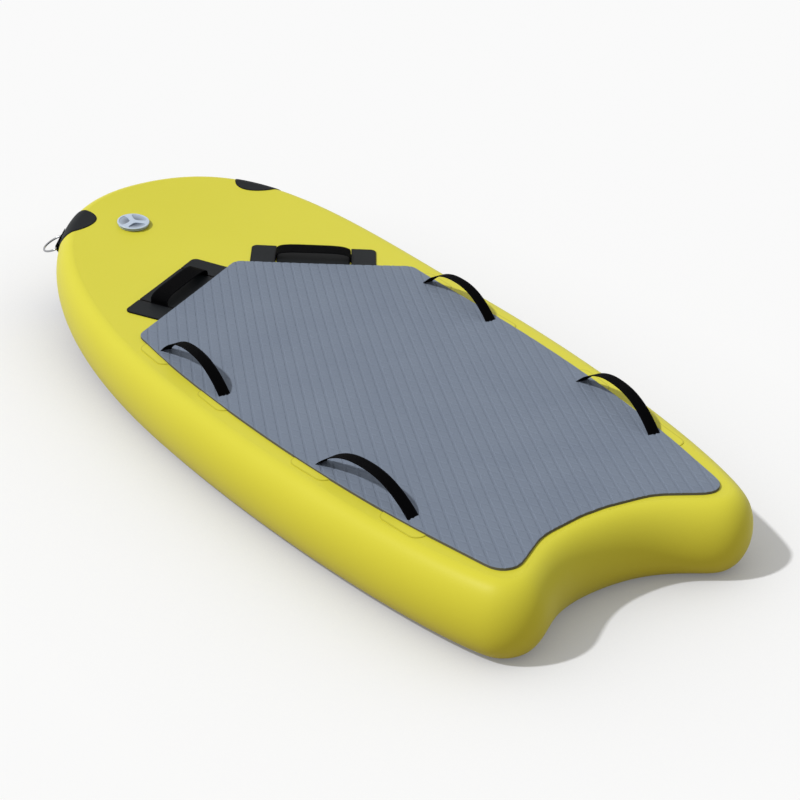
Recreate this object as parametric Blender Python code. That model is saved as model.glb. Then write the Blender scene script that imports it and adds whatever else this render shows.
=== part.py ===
"""Inflatable rescue sled: drop-stitch hull, foam deck pad, webbing grips, tow rings and inflation valve.

Metres, +Z up, +Y towards the nose, origin under the middle of the hull's box.
Sheet pieces are drawn flat, h above the deck, then bent with the rocker by follow_rocker.
"""

import math

import bmesh
import bpy
from mathutils import Matrix, Vector

# Hull
hull_length = 1.900
hull_width = 0.850
hull_thickness = 0.150
fabric = 0.0015
rail_depth = 0.046
rail_lap = 0.020
rail_steps = 10
rail_inner_steps = 6
fit_gap = 0.0003
seam_gap = 0.0006

# Plan shape of one half. "_back" is measured from the nose, "_ahead" from the tail, "_in" from the side
nose_y = hull_length / 2
tail_y = -hull_length / 2
side_x = hull_width / 2
widest_back = 0.830
nose_fullness = 0.302
bow_fullness = 0.562
stern_fullness = 0.559
corner_in = 0.2006
corner_ahead = 0.0816
corner_radius = 0.0811
corner_start = math.radians(-37.5)
corner_end = math.radians(-83.0)
corner_lead = 0.071
notch_lead = 0.069
notch_depth = 0.0765
notch_fullness = 0.1515
corner_centre = (side_x - corner_in, tail_y + corner_ahead)
bow_longest = 0.070
stern_longest = 0.090
sharpest_bend = math.radians(12)

# Rocker: the nose rises from here, in straight steps so that neighbouring sheets keep their gap
rocker_run = 0.927
rocker_rise = 0.0988
rocker_step = 0.050
valve_flat = 0.045
rocker_start = nose_y - rocker_run

# Deck pad
pad_thickness = 0.0055
pad_margin_notch = 0.006
pad_margin_corner = 0.014
pad_margin_front = 0.012
pad_apex_back = 0.4844
pad_vee_slope = 0.634
pad_corner_round = 0.014
pad_tail_corner_out = 0.0241
pad_tail_corner_drop = 0.0481
pad_tail_round = 0.034
pad_apex_y = nose_y - pad_apex_back
pad_tail_corner = (corner_centre[0] + pad_tail_corner_out, corner_centre[1] - pad_tail_corner_drop)

# Side straps: (in, back) of the front strap's feet and (in, ahead) of the rear one's, rear foot first
strap_width = 0.025
strap_thickness = 0.0016
strap_rise = 0.049
strap_tail = 0.040
strap_power = 2.3
strap_foot_reach = 0.0050
strap_foot_bend = 0.0026
strap_foot_lift = 0.0008
front_feet_in_back = ((0.1041, 1.0418), (0.0985, 0.7950))
rear_feet_in_ahead = ((0.1560, 0.2780), (0.1245, 0.5250))
front_strap_feet = [(side_x - a, nose_y - b) for a, b in front_feet_in_back]
rear_strap_feet = [(side_x - a, tail_y + b) for a, b in rear_feet_in_ahead]
anchor_length = 0.105
anchor_width = 0.080
anchor_thickness = 0.0010
anchor_round = 0.020

# Bow handles, in the slanted frame of the pad's front edge
vee_angle = math.atan(pad_vee_slope)
handle_from_apex = 0.17931
handle_clear = 0.01777
handle_half_span = 0.0863
handle_rise = 0.0185
handle_foot_lift = 0.0035
handle_width = 0.042
handle_thickness = 0.0018
handle_power = 4.0
handle_tail_margin = 0.008
handle_patch_half = 0.146
handle_patch_lap = 0.01823
handle_patch_lip = 0.0305
handle_patch_thickness = 0.0030
handle_patch_round = 0.014
handle_slot_inside = 0.0020
handle_slot_outside = 0.0030
pad_front_out = pad_apex_y * math.cos(vee_angle)
handle_along = handle_from_apex - pad_apex_y * math.sin(vee_angle)
handle_out = pad_front_out + handle_clear + handle_width / 2
handle_tail_end = handle_patch_half - handle_tail_margin
handle_patch_back = pad_front_out - handle_patch_lap
handle_patch_front = handle_out + handle_width / 2 + handle_patch_lip
handle_slot = (handle_half_span - handle_slot_inside, handle_half_span + handle_slot_outside)

# Tow points
tow_in = 0.1460
tow_centre_x = side_x - tow_in
tow_offset = 0.0004
tow_patch_thickness = 0.0012
tow_facet = 0.068
tow_lobe_radius = 0.064
tow_lobe_reach = 0.036
tow_waist_half = 0.033
tow_lean = 0.30
ring_angle = math.radians(18)
ring_shift = 0.006
ring_wire = 0.0025
ring_half_width = 0.0345
ring_depth = 0.042
ring_corner = 0.005
ring_droop = math.radians(22)
ring_offset = 0.0065
tab_width = 0.050
tab_thickness = 0.0016
tab_reach = 0.030

# Valve, heights from the deck's outer face
valve_x = -0.129
valve_back = 0.215
valve_y = nose_y - valve_back
deck_hole = 0.0225
gasket_inner = 0.0228
gasket_outer = 0.0340
gasket_top = 0.0013
flange_radius = 0.0360
flange_top = 0.0040
barrel_radius = 0.0215
barrel_bore = 0.0175
groove_bore = 0.0195
groove_low = -0.0032
groove_high = 0.0028
seat_top = -0.0180
seat_low = -0.0200
seat_bore = 0.0110
guide_radius = 0.0055
guide_bore = 0.0030
stem_radius = 0.0025
button_radius = 0.0065
button_top = -0.0030
button_low = -0.0050
poppet_radius = 0.0140
poppet_top = -0.0222
poppet_low = -0.0250
stem_seal_inner = 0.0112
nut_radius = 0.0330
nut_low = -0.0080
cap_radius = 0.0380
cap_low = 0.0043
cap_top = 0.0095
cap_rim = 0.0025
cap_recess = 0.0030
plug_outer = 0.0168
plug_inner = 0.0135
plug_low = -0.0027
lug_reach = 0.0188
lug_half_angle = math.radians(14)
seal_inner = 0.0220
seal_outer = 0.0250
seal_top = 0.0057
spring_radius = 0.0044
spring_wire = 0.0005
spring_turns = 5

yellow = (0.68, 0.63, 0.08)
pad_grey = (0.19, 0.22, 0.28)
patch_black = (0.015, 0.017, 0.022)
webbing_black = (0.005, 0.005, 0.006)
valve_grey = (0.44, 0.53, 0.64)
rubber_black = (0.02, 0.02, 0.02)
steel = (0.62, 0.62, 0.62)

sled = bpy.data.collections.new("rescue_sled")
cutters = bpy.data.collections.new("cutters")


def clear_scene():
    for item in list(bpy.data.objects):
        bpy.data.objects.remove(item, do_unlink=True)
    bpy.context.scene.collection.children.link(sled)
    bpy.context.scene.collection.children.link(cutters)


def material(name, colour, roughness, metallic=0.0):
    made = bpy.data.materials.new(name)
    made.use_nodes = True
    shader = made.node_tree.nodes["Principled BSDF"]
    shader.inputs["Base Color"].default_value = (*colour, 1.0)
    shader.inputs["Roughness"].default_value = roughness
    shader.inputs["Metallic"].default_value = metallic
    return made


def solid(name, points, faces, look=None):
    """An object from points and faces, its faces turned outwards. With no look it is a cutter."""
    shape = bmesh.new()
    corners = [shape.verts.new(point) for point in points]
    for face in faces:
        shape.faces.new([corners[index] for index in face])
    bmesh.ops.recalc_face_normals(shape, faces=shape.faces[:])
    mesh = bpy.data.meshes.new(name)
    shape.to_mesh(mesh)
    shape.free()
    item = bpy.data.objects.new(name, mesh)
    if look is None:
        cutters.objects.link(item)
        item.hide_render = True
        item.display_type = "WIRE"
    else:
        sled.objects.link(item)
        mesh.materials.append(material(name, *look))
    return item


def cut(item, cutter, operation="DIFFERENCE"):
    modifier = item.modifiers.new(cutter.name, "BOOLEAN")
    modifier.operation = operation
    modifier.solver = "EXACT"
    modifier.object = cutter


def prism(name, outline, low, high, look=None):
    count = len(outline)
    points = [(x, y, low) for x, y in outline] + [(x, y, high) for x, y in outline]
    faces = [list(range(count)), list(range(count, 2 * count))]
    for i in range(count):
        j = (i + 1) % count
        faces.append([i, j, count + j, count + i])
    return solid(name, points, faces, look)


def rings(name, loops, look=None, closed=True):
    """A solid skinned over equal loops of points. Open ones get a cap at each end."""
    count = len(loops[0])
    points = [point for loop in loops for point in loop]
    faces = []
    spans = len(loops) if closed else len(loops) - 1
    for i in range(spans):
        k = (i + 1) % len(loops)
        for j in range(count):
            m = (j + 1) % count
            faces.append([i * count + j, i * count + m, k * count + m, k * count + j])
    if not closed:
        faces.append(list(range(count)))
        faces.append(list(range(len(points) - count, len(points))))
    return solid(name, points, faces, look)


def revolve(name, profile, segments, look=None):
    """A ring or, where the profile starts and ends on the axis, a solid of revolution."""
    on_axis = profile[0][0] == 0.0
    wall = profile[1:-1] if on_axis else profile
    points = []
    for i in range(segments):
        turn = 2 * math.pi * i / segments
        points += [(r * math.cos(turn), r * math.sin(turn), z) for r, z in wall]
    count = len(wall)
    faces = []
    for i in range(segments):
        k = (i + 1) % segments
        for j in range(count - 1 if on_axis else count):
            m = (j + 1) % count
            faces.append([i * count + j, i * count + m, k * count + m, k * count + j])
    if on_axis:
        faces.append([i * count for i in range(segments)])
        faces.append([i * count + count - 1 for i in range(segments)])
    return solid(name, points, faces, look)


def bezier(start, lead, trail, end, count=120):
    points = []
    for i in range(count + 1):
        t = i / count
        u = 1 - t
        points.append(start * u**3 + 3 * lead * u * u * t + 3 * trail * u * t * t + end * t**3)
    return points


def along_curve(points, longest):
    """Fewer points of a dense curve, closer together where it bends, both ends kept."""
    cost = [0.0]
    for i in range(1, len(points)):
        step = points[i] - points[i - 1]
        bend = 0.0
        if i > 1 and step.length > 0:
            bend = (points[i - 1] - points[i - 2]).angle(step, 0.0)
        cost.append(cost[-1] + math.hypot(step.length / longest, bend / sharpest_bend))
    count = max(2, math.ceil(cost[-1]))
    kept = []
    i = 0
    for n in range(count + 1):
        while i < len(points) - 1 and cost[i] < cost[-1] * n / count - 1e-9:
            i += 1
        kept.append(points[i])
    return kept


def split_at(points, distance):
    """Two runs of a dense curve, parted at a distance along it."""
    walked = 0.0
    for i in range(1, len(points)):
        walked += (points[i] - points[i - 1]).length
        if walked >= distance:
            return points[:i + 1], points[i:]
    return points, points[-1:]


def bow_stations(bow):
    """Stations from the nose to the widest point, with one straight facet where the tow point sits."""
    before_tow = [p for p in bow if p.x <= tow_centre_x]
    reach = sum((q - p).length for p, q in zip(before_tow, before_tow[1:]))
    nose_run, rest = split_at(bow, reach - tow_facet / 2)
    _, side_run = split_at(rest, tow_facet)
    first = along_curve(nose_run, bow_longest)
    return first + along_curve(side_run, bow_longest), len(first) - 1


def half_outline():
    """Starboard half in plan, from the nose tip to the middle of the tail notch, and the tow facet's index."""
    nose = Vector((0, nose_y))
    widest = Vector((side_x, nose_y - widest_back))
    centre = Vector(corner_centre)
    first = Vector((math.cos(corner_start), math.sin(corner_start)))
    last = Vector((math.cos(corner_end), math.sin(corner_end)))
    enter = centre + corner_radius * first
    leave = centre + corner_radius * last
    notch = Vector((0, tail_y + notch_depth))
    nose_lead = nose + Vector((nose_fullness, 0))
    bow = bezier(nose, nose_lead, widest + Vector((0, bow_fullness)), widest, 1000)
    enter_lead = enter - corner_lead * Vector((first.y, -first.x))
    stern = bezier(widest, widest - Vector((0, stern_fullness)), enter_lead, enter)
    corner = []
    for i in range(41):
        turn = corner_start + (corner_end - corner_start) * i / 40
        corner.append(centre + corner_radius * Vector((math.cos(turn), math.sin(turn))))
    leave_lead = leave + notch_lead * Vector((last.y, -last.x))
    tail = bezier(leave, leave_lead, notch + Vector((notch_fullness, 0)), notch)
    stations, facet = bow_stations(bow)
    for piece in (stern, corner, tail):
        stations += along_curve(piece, stern_longest)[1:]
    return stations, facet


def outline():
    """Points and outward normals round the hull, clockwise from the nose seen from above, and the tow facet."""
    half, facet = half_outline()
    lowest = min(point.y for point in half)
    factor = hull_length / (nose_y - lowest)
    half = [Vector((point.x, nose_y - (nose_y - point.y) * factor)) for point in half]
    whole = half + [Vector((-point.x, point.y)) for point in reversed(half[1:-1])]
    normals = []
    for i, point in enumerate(whole):
        before = (point - whole[i - 1]).normalized()
        after = (whole[(i + 1) % len(whole)] - point).normalized()
        run = (before + after).normalized()
        normals.append(Vector((-run.y, run.x)))
    return list(zip(whole, normals)), facet


hull_outline, tow_index = outline()


def rocker_at(y):
    share = max(0.0, (y - rocker_start) / rocker_run)
    return rocker_rise * share * share


def make_stations():
    """Where the rocker bends. One step is flat under the valve's flange."""
    low = valve_y - valve_flat
    high = valve_y + valve_flat
    ends = [(rocker_start, low), (high, nose_y)]
    found = []
    for first, last in ends:
        count = math.ceil((last - first) / rocker_step)
        found += [first + (last - first) * i / count for i in range(count + 1)]
    return found


rocker_stations = make_stations()


def rise(y):
    """Height of the rocker at y, straight between two stations."""
    if y <= rocker_stations[0]:
        return 0.0
    for low, high in zip(rocker_stations, rocker_stations[1:]):
        if y <= high:
            part = (y - low) / (high - low)
            return rocker_at(low) + part * (rocker_at(high) - rocker_at(low))
    return rocker_at(y)


def follow_rocker(item):
    """Applies the modifiers of a sheet drawn flat, splits it at the stations and lifts it with the hull."""
    bpy.context.view_layer.update()
    graph = bpy.context.evaluated_depsgraph_get()
    flat = bpy.data.meshes.new_from_object(item.evaluated_get(graph))
    item.modifiers.clear()
    bent = bmesh.new()
    bent.from_mesh(flat)
    for station in rocker_stations[:-1]:
        parts = bent.verts[:] + bent.edges[:] + bent.faces[:]
        bmesh.ops.bisect_plane(bent, geom=parts, dist=1e-7, plane_co=(0, station, 0), plane_no=(0, 1, 0))
    for corner in bent.verts:
        corner.co.z += rise(corner.co.y)
    bent.to_mesh(flat)
    bent.free()
    item.data = flat
    return item


def inset(distance_of):
    """The hull's outline moved inwards, by a distance given for each point."""
    return [point - normal * distance_of(point) for point, normal in hull_outline]


def section(angle, offset=0.0):
    """(out, up) of a point on the rail's section. Angle 90 is its top, 0 its middle, offset stands off it."""
    half = hull_thickness / 2
    out = rail_depth * (math.cos(angle) - 1)
    up = half + half * math.sin(angle)
    normal = Vector((math.cos(angle) / rail_depth, math.sin(angle) / half)).normalized()
    return Vector((out, up)) + normal * offset


def hull_skins():
    def edge(point):
        return rail_depth + seam_gap
    sheet = inset(edge)
    deck = prism("deck_panel", sheet, hull_thickness - fabric, hull_thickness, (yellow, 0.5))
    follow_rocker(deck)
    bottom = prism("bottom_panel", sheet, 0.0, fabric, (yellow, 0.5))
    follow_rocker(bottom)
    return deck


def rail_profile():
    """Closed section of the side wall: it tucks under both panels by rail_lap."""
    top = hull_thickness - fabric - fit_gap
    low = fabric + fit_gap
    out = [(-rail_depth - rail_lap, top), (-rail_depth, top)]
    for i in range(rail_steps + 1):
        out.append(tuple(section(math.pi / 2 - math.pi * i / rail_steps)))
    out += [(-rail_depth, low), (-rail_depth - rail_lap, low)]
    half = hull_thickness / 2
    inner_half = half - 2 * fabric - fit_gap
    inside = [(-rail_depth - rail_lap, low + fabric)]
    for i in range(rail_inner_steps + 1):
        angle = -math.pi / 2 + math.pi * i / rail_inner_steps
        n = -rail_depth + (rail_depth - fabric) * math.cos(angle)
        inside.append((n, half + inner_half * math.sin(angle)))
    inside.append((-rail_depth - rail_lap, top - fabric))
    return out + inside


def rail_wall():
    profile = rail_profile()
    loops = []
    for point, normal in hull_outline:
        loop = []
        for out, up in profile:
            place = point + normal * out
            loop.append((place.x, place.y, up + rise(place.y)))
        loops.append(loop)
    return rings("rail_wall", loops, (yellow, 0.5))


def rounded(corners, radii, steps=4):
    """A polygon with an arc of the given radius at each corner."""
    made = []
    count = len(corners)
    for i, corner in enumerate(corners):
        radius = radii[i]
        if radius <= 0:
            made.append(corner)
            continue
        back = (corners[i - 1] - corner).normalized()
        ahead = (corners[(i + 1) % count] - corner).normalized()
        half_angle = back.angle(ahead) / 2
        centre = corner + (back + ahead).normalized() * radius / math.sin(half_angle)
        first = corner + back * radius / math.tan(half_angle) - centre
        last = corner + ahead * radius / math.tan(half_angle) - centre
        sweep = first.angle_signed(last)
        for k in range(steps + 1):
            turned = first.copy()
            turned.rotate(Matrix.Rotation(-sweep * k / steps, 2))
            made.append(centre + turned)
    return made


def rectangle(centre, direction, half_length, half_width, radius, steps=4):
    across = Vector((-direction.y, direction.x))
    corners = []
    for a, b in ((1, 1), (1, -1), (-1, -1), (-1, 1)):
        corners.append(centre + direction * half_length * a + across * half_width * b)
    return rounded(corners, [radius] * 4, steps)


def pad_outline():
    def margin(point):
        inboard = min(1.0, abs(point.x) / 0.20)
        ahead = min(1.0, max(0.0, (point.y + 0.90) / 1.12))
        return rail_depth + pad_margin_notch + pad_margin_corner * inboard + pad_margin_front * ahead
    edge = inset(margin)
    corner_x, corner_y = pad_tail_corner
    starboard = [p for p in edge if p.x > 0]
    side = [p for p in starboard if p.x > corner_x and p.y > corner_y + 0.06]
    side = [p for p in side if p.y < pad_apex_y - pad_vee_slope * p.x - 0.02]
    tail = [p for p in starboard if p.y < tail_y + 0.25 and p.x < corner_x - 0.055]
    front_x = side[0].x + 0.002
    front = Vector((front_x, pad_apex_y - pad_vee_slope * front_x))
    half = [front] + side + [Vector(pad_tail_corner)] + tail
    radii = [pad_corner_round] + [0.0] * len(side) + [pad_tail_round] + [0.0] * len(tail)
    middle = [p for p in edge if p.x == 0 and p.y < 0]
    port = [Vector((-p.x, p.y)) for p in reversed(half)]
    corners = [Vector((0, pad_apex_y))] + half + middle + port
    return rounded(corners, [pad_corner_round] + radii + [0.0] * len(middle) + radii[::-1])


def ribbon(name, centre, direction, path, thickness, width, look=None):
    """A strap of constant thickness along a path of (along, h), drawn flat over the deck."""
    across = Vector((-direction.y, direction.x))
    loops = []
    for i, (along, height) in enumerate(path):
        before = Vector(path[max(0, i - 1)])
        here = Vector((along, height))
        after = Vector(path[min(len(path) - 1, i + 1)])
        runs = [run.normalized() for run in (here - before, after - here) if run.length > 0]
        mean = sum(runs, Vector((0, 0))).normalized()
        stretch = 1 / max(0.5, mean.dot(runs[0]))
        normal = Vector((-mean.y, mean.x)) * thickness / 2 * stretch
        loop = []
        for side, face in ((-1, -1), (1, -1), (1, 1), (-1, 1)):
            along_at = along + normal.x * face
            height_at = height + normal.y * face
            place = centre + direction * along_at + across * side * width / 2
            loop.append((place.x, place.y, hull_thickness + height_at))
        loops.append(loop)
    return rings(name, loops, look, closed=False)


def strap_path(half_span):
    """Side strap: sewn tail, bend up through the pad, arch, and the same again."""
    level = fit_gap + anchor_thickness + fit_gap + strap_thickness / 2
    pad_top = fit_gap + pad_thickness
    half = []
    half.append((half_span + strap_tail, level))
    half.append((half_span + strap_foot_reach, level))
    half.append((half_span + strap_foot_bend, level + strap_foot_lift))
    for i in range(9):
        u = 1 - i / 8
        u = u ** 0.8
        half.append((half_span * u, pad_top + strap_rise * (1 - u**strap_power)))
    half, top = half[:-1], (0.0, half[-1][1])
    return [(-a, h) for a, h in half] + [top] + [(a, h) for a, h in reversed(half)]


def slot_size(thickness, width):
    return thickness + 2 * fit_gap, width + 4 * fit_gap


def side_straps(pad):
    for label, feet in (("front", front_strap_feet), ("rear", rear_strap_feet)):
        for side, sign in (("left", -1), ("right", 1)):
            rear = Vector((sign * feet[0][0], feet[0][1]))
            fore = Vector((sign * feet[1][0], feet[1][1]))
            direction = (fore - rear).normalized()
            middle = (rear + fore) / 2
            path = strap_path((fore - rear).length / 2)
            name = f"side_strap_{label}_{side}"
            size = (strap_thickness, strap_width)
            strap = ribbon(name, middle, direction, path, *size, (webbing_black, 0.8))
            cut(pad, ribbon(name + "_slot", middle, direction, path, *slot_size(*size)))
            follow_rocker(strap)
            for end, foot in (("aft", rear), ("fore", fore)):
                anchor(f"strap_anchor_{label}_{end}_{side}", foot, direction, pad)


def anchor(name, foot, direction, pad):
    half_length = anchor_length / 2
    half_width = anchor_width / 2
    shape = rectangle(foot, direction, half_length, half_width, anchor_round)
    base = hull_thickness + fit_gap
    plate = prism(name, shape, base, base + anchor_thickness, (yellow, 0.45))
    follow_rocker(plate)
    pocket = rectangle(foot, direction, half_length + seam_gap, half_width + seam_gap, anchor_round)
    cut(pad, prism(name + "_pocket", pocket, base - 0.002, base + anchor_thickness + fit_gap))


def vee_frame(sign):
    """(along, out) directions of the pad's front edge on one side: along runs outboard."""
    along = Vector((sign * math.cos(vee_angle), -math.sin(vee_angle)))
    out = Vector((sign * math.sin(vee_angle), math.cos(vee_angle)))
    return along, out


def handle_path():
    level = fit_gap + handle_thickness / 2
    half = [(handle_tail_end, level), (handle_half_span + 0.0035, level)]
    half.append((handle_half_span + 0.0010, level + 0.0012))
    for i in range(11):
        turn = math.pi / 2 * i / 10
        along = handle_half_span * math.cos(turn) ** (2 / handle_power)
        height = level + handle_foot_lift + handle_rise * math.sin(turn) ** (2 / handle_power)
        half.append((along, height))
    half[-1] = (0.0, half[-1][1])
    return [(-a, h) for a, h in half[:-1]] + [half[-1]] + [(a, h) for a, h in reversed(half[:-1])]


def handle_plate(name, along, out, low, high, radii, sign):
    corners = []
    front, back = handle_patch_front, handle_patch_back
    for a, b in ((low, front), (high, front), (high, back), (low, back)):
        corners.append(along * (handle_along + a) + out * b)
    if sign < 0:
        corners = corners[::-1]
        radii = radii[::-1]
    base = hull_thickness + fit_gap
    shape = rounded(corners, radii)
    return prism(name, shape, base, base + handle_patch_thickness, (patch_black, 0.6))


def bow_handles(pad):
    for side, sign in (("left", -1), ("right", 1)):
        along, out = vee_frame(sign)
        middle = along * handle_along + out * handle_out
        name = f"bow_handle_{side}"
        path = handle_path()
        size = (handle_thickness, handle_width)
        loop = ribbon(name, middle, along, path, *size, (webbing_black, 0.8))
        slot = ribbon(name + "_channel", middle, along, path, *slot_size(*size))
        r = handle_patch_round
        end = handle_patch_half
        low, high = handle_slot
        outer_name, inner_name = f"handle_patch_outer_{side}", f"handle_patch_inner_{side}"
        outer = handle_plate(outer_name, along, out, high, end, [0, r, r, 0], sign)
        inner = handle_plate(inner_name, along, out, -end, -high, [r, 0, 0, r], sign)
        middle_pad = handle_plate(f"knuckle_pad_{side}", along, out, -low, low, [0, 0, 0, 0], sign)
        for plate in (outer, inner):
            cut(plate, slot)
        for piece in (outer, inner, middle_pad, loop):
            follow_rocker(piece)
        centre = along * handle_along + out * (handle_patch_back + 0.1)
        pocket = rectangle(centre, along, handle_patch_half + seam_gap, 0.1 + seam_gap, 0.004, 1)
        base = hull_thickness + fit_gap
        cut(pad, prism(name + "_pocket", pocket, base - 0.002, base + handle_patch_thickness + fit_gap))


def deck_pad():
    base = hull_thickness + fit_gap
    pad = prism("deck_pad", pad_outline(), base, base + pad_thickness, (pad_grey, 0.85))
    side_straps(pad)
    bow_handles(pad)
    return follow_rocker(pad)


def wrap_path():
    """(out, up) and normal down the rail's facets, from the deck lobe's tip to the bottom one's, with lengths."""
    flat = -rail_depth - tow_lobe_reach
    path = [(Vector((flat, hull_thickness)), Vector((0, 1)))]
    for i in range(rail_steps + 1):
        angle = math.pi / 2 - math.pi * i / rail_steps
        across = Vector((math.cos(angle) / rail_depth, 2 * math.sin(angle) / hull_thickness))
        normal = across.normalized()
        path.append((section(angle), normal))
    path.append((Vector((flat, 0.0)), Vector((0, -1))))
    length = [0.0]
    for before, after in zip(path, path[1:]):
        length.append(length[-1] + (after[0] - before[0]).length)
    return path, length


def bracket(stops, value):
    """Index and share of value between two neighbouring stops."""
    index = 0
    while index < len(stops) - 2 and value > stops[index + 1]:
        index += 1
    return index, (value - stops[index]) / (stops[index + 1] - stops[index])


def tow_outline(path, length):
    """The patch laid flat: a round lobe at each end of v, a waist between them, leaning to the nose on the deck."""
    total = length[-1]
    half = []
    for i in range(6):
        turn = math.pi / 2 * (i + 0.6) / 5.6
        half.append((tow_lobe_radius * math.sin(turn), tow_lobe_radius * (1 - math.cos(turn))))
    for i in range(1, 5):
        ease = (1 - math.cos(math.pi * i / 4)) / 2
        width = tow_lobe_radius + (tow_waist_half - tow_lobe_radius) * ease
        half.append((width, tow_lobe_radius + (total / 2 - tow_lobe_radius) * i / 4))
    side = half + [(w, total - v) for w, v in reversed(half[:-1])]
    whole = side + [(-w, v) for w, v in reversed(side)]
    leaning = []
    for w, v in whole:
        k, down = bracket(length, v)
        out = path[k][0].x * (1 - down) + path[k + 1][0].x * down
        leaning.append((w + tow_lean * out, v))
    return leaning


def tow_patch(side, sign):
    """Cut flat, then laid on the facets of the rail and of the two panels."""
    path, length = wrap_path()
    corners = hull_outline[tow_index - 3:tow_index + 4]
    run = [0.0]
    for (before, _), (after, _) in zip(corners, corners[1:]):
        run.append(run[-1] + (after - before).length)
    middle = (run[3] + run[4]) / 2
    run = [r - middle for r in run]
    name = f"tow_patch_{side}"
    shape = tow_outline(path, length)
    top = tow_offset + tow_patch_thickness
    patch = prism(name, shape, tow_offset, top, (patch_black, 0.6))
    bent = bmesh.new()
    bent.from_mesh(patch.data)
    cuts = [((stop, 0, 0), (1, 0, 0)) for stop in run]
    cuts += [((0, stop, 0), (0, 1, 0)) for stop in length]
    for spot, facing in cuts:
        parts = bent.verts[:] + bent.edges[:] + bent.faces[:]
        bmesh.ops.bisect_plane(bent, geom=parts, dist=1e-7, plane_co=spot, plane_no=facing)
    for corner in bent.verts:
        i, along = bracket(run, corner.co.x)
        k, down = bracket(length, corner.co.y)
        place = Vector((0, 0, 0))
        for station, share in ((i, 1 - along), (i + 1, along)):
            for level, part in ((k, 1 - down), (k + 1, down)):
                spot = path[level][0] + path[level][1] * corner.co.z
                at = corners[station][0] + corners[station][1] * spot.x
                place += share * part * Vector((at.x, at.y, spot.y + rise(at.y)))
        corner.co = (sign * place.x, place.y, place.z)
    if sign < 0:
        bmesh.ops.reverse_faces(bent, faces=bent.faces[:])
    bent.to_mesh(patch.data)
    bent.free()


def tow_frame(sign):
    """x runs along the rail, y stands out of the hull and z is up, from the middle of the tow facet."""
    fore = hull_outline[tow_index][0]
    aft = hull_outline[tow_index + 1][0]
    fore = Vector((sign * fore.x, fore.y, rise(fore.y)))
    aft = Vector((sign * aft.x, aft.y, rise(aft.y)))
    along = (aft - fore).normalized() * sign
    out = Vector((-along.y, along.x, 0)).normalized()
    frame = Matrix((along, out, along.cross(out))).transposed().to_4x4()
    frame.translation = (fore + aft) / 2 + Vector((0, 0, hull_thickness / 2)) + along * sign * ring_shift
    return frame


def tow_tab(side, sign):
    """Webbing folded over the ring's bar and sewn to the patch above and below it."""
    rest = tow_offset + tow_patch_thickness + fit_gap + tab_thickness / 2
    over = ring_offset + ring_wire + fit_gap + tab_thickness / 2
    spots = [(-tab_reach, rest), (-0.020, rest), (-0.0125, rest)]
    spots += [(-0.0055, over - 0.0012), (-0.0025, over)]
    spots += [(-s, offset) for s, offset in reversed(spots)]
    half = hull_thickness / 2
    path = []
    for s, offset in spots:
        angle = ring_angle + s / half
        path.append(section(angle, offset))
    loops = []
    for i, here in enumerate(path):
        before = path[max(0, i - 1)]
        after = path[min(len(path) - 1, i + 1)]
        mean = (after - before).normalized()
        normal = Vector((mean.y, -mean.x)) * tab_thickness / 2
        loop = []
        for edge, face in ((-1, -1), (1, -1), (1, 1), (-1, 1)):
            spot = here + normal * face
            loop.append((edge * tab_width / 2, spot.x, spot.y - half))
        loops.append(loop)
    tab = rings(f"tow_tab_{side}", loops, (webbing_black, 0.8), closed=False)
    tab.data.transform(tow_frame(sign))
    return tab


def ring_path():
    """Centre line of the D ring in its own plane: bar along x, bow towards +y."""
    path = []
    w = ring_half_width
    r = ring_corner
    for i in range(4):
        turn = -math.pi / 2 + math.pi / 2 * i / 3
        path.append(Vector((w - r + r * math.cos(turn), r + r * math.sin(turn))))
    for i in range(1, 12):
        turn = math.pi * i / 12
        path.append(Vector((w * math.cos(turn), r + (ring_depth - r) * math.sin(turn))))
    for i in range(4):
        turn = math.pi + math.pi / 2 * i / 3
        path.append(Vector((-w + r + r * math.cos(turn), r + r * math.sin(turn))))
    return path


def bar_centre():
    """(out, up) of the ring's bar, which is also the ring's hinge line."""
    return section(ring_angle, ring_offset)


def tow_ring(side, sign):
    path = ring_path()
    centre = bar_centre()
    sides = 8
    loops = []
    for i, here in enumerate(path):
        before = (here - path[i - 1]).normalized()
        after = (path[(i + 1) % len(path)] - here).normalized()
        mean = (before + after).normalized()
        normal = Vector((mean.y, -mean.x)) / mean.dot(before)
        loop = []
        for k in range(sides):
            turn = 2 * math.pi * (k + 0.5) / sides
            flat = here + normal * ring_wire * math.cos(turn)
            lift = ring_wire * math.sin(turn)
            out = flat.y * math.cos(ring_droop) + lift * math.sin(ring_droop)
            up = -flat.y * math.sin(ring_droop) + lift * math.cos(ring_droop)
            loop.append((flat.x, centre.x + out, centre.y - hull_thickness / 2 + up))
        loops.append(loop)
    ring = rings(f"tow_ring_{side}", loops, (steel, 0.25, 1.0))
    ring.data.transform(tow_frame(sign))
    return ring


def valve_frame():
    slope = (rise(valve_y + valve_flat) - rise(valve_y - valve_flat)) / (2 * valve_flat)
    place = Matrix.Translation((valve_x, valve_y, hull_thickness + rise(valve_y)))
    return place @ Matrix.Rotation(math.atan(slope), 4, "X")


def wedge(name, inner, outer, middle, half_angle, low, high, steps=6):
    """A sector of a ring, used for lugs, slots and recesses."""
    outline_points = []
    for i in range(steps + 1):
        turn = middle - half_angle + 2 * half_angle * i / steps
        outline_points.append((outer * math.cos(turn), outer * math.sin(turn)))
    for i in range(steps + 1):
        turn = middle + half_angle - 2 * half_angle * i / steps
        outline_points.append((inner * math.cos(turn), inner * math.sin(turn)))
    return prism(name, outline_points, low, high)


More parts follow.
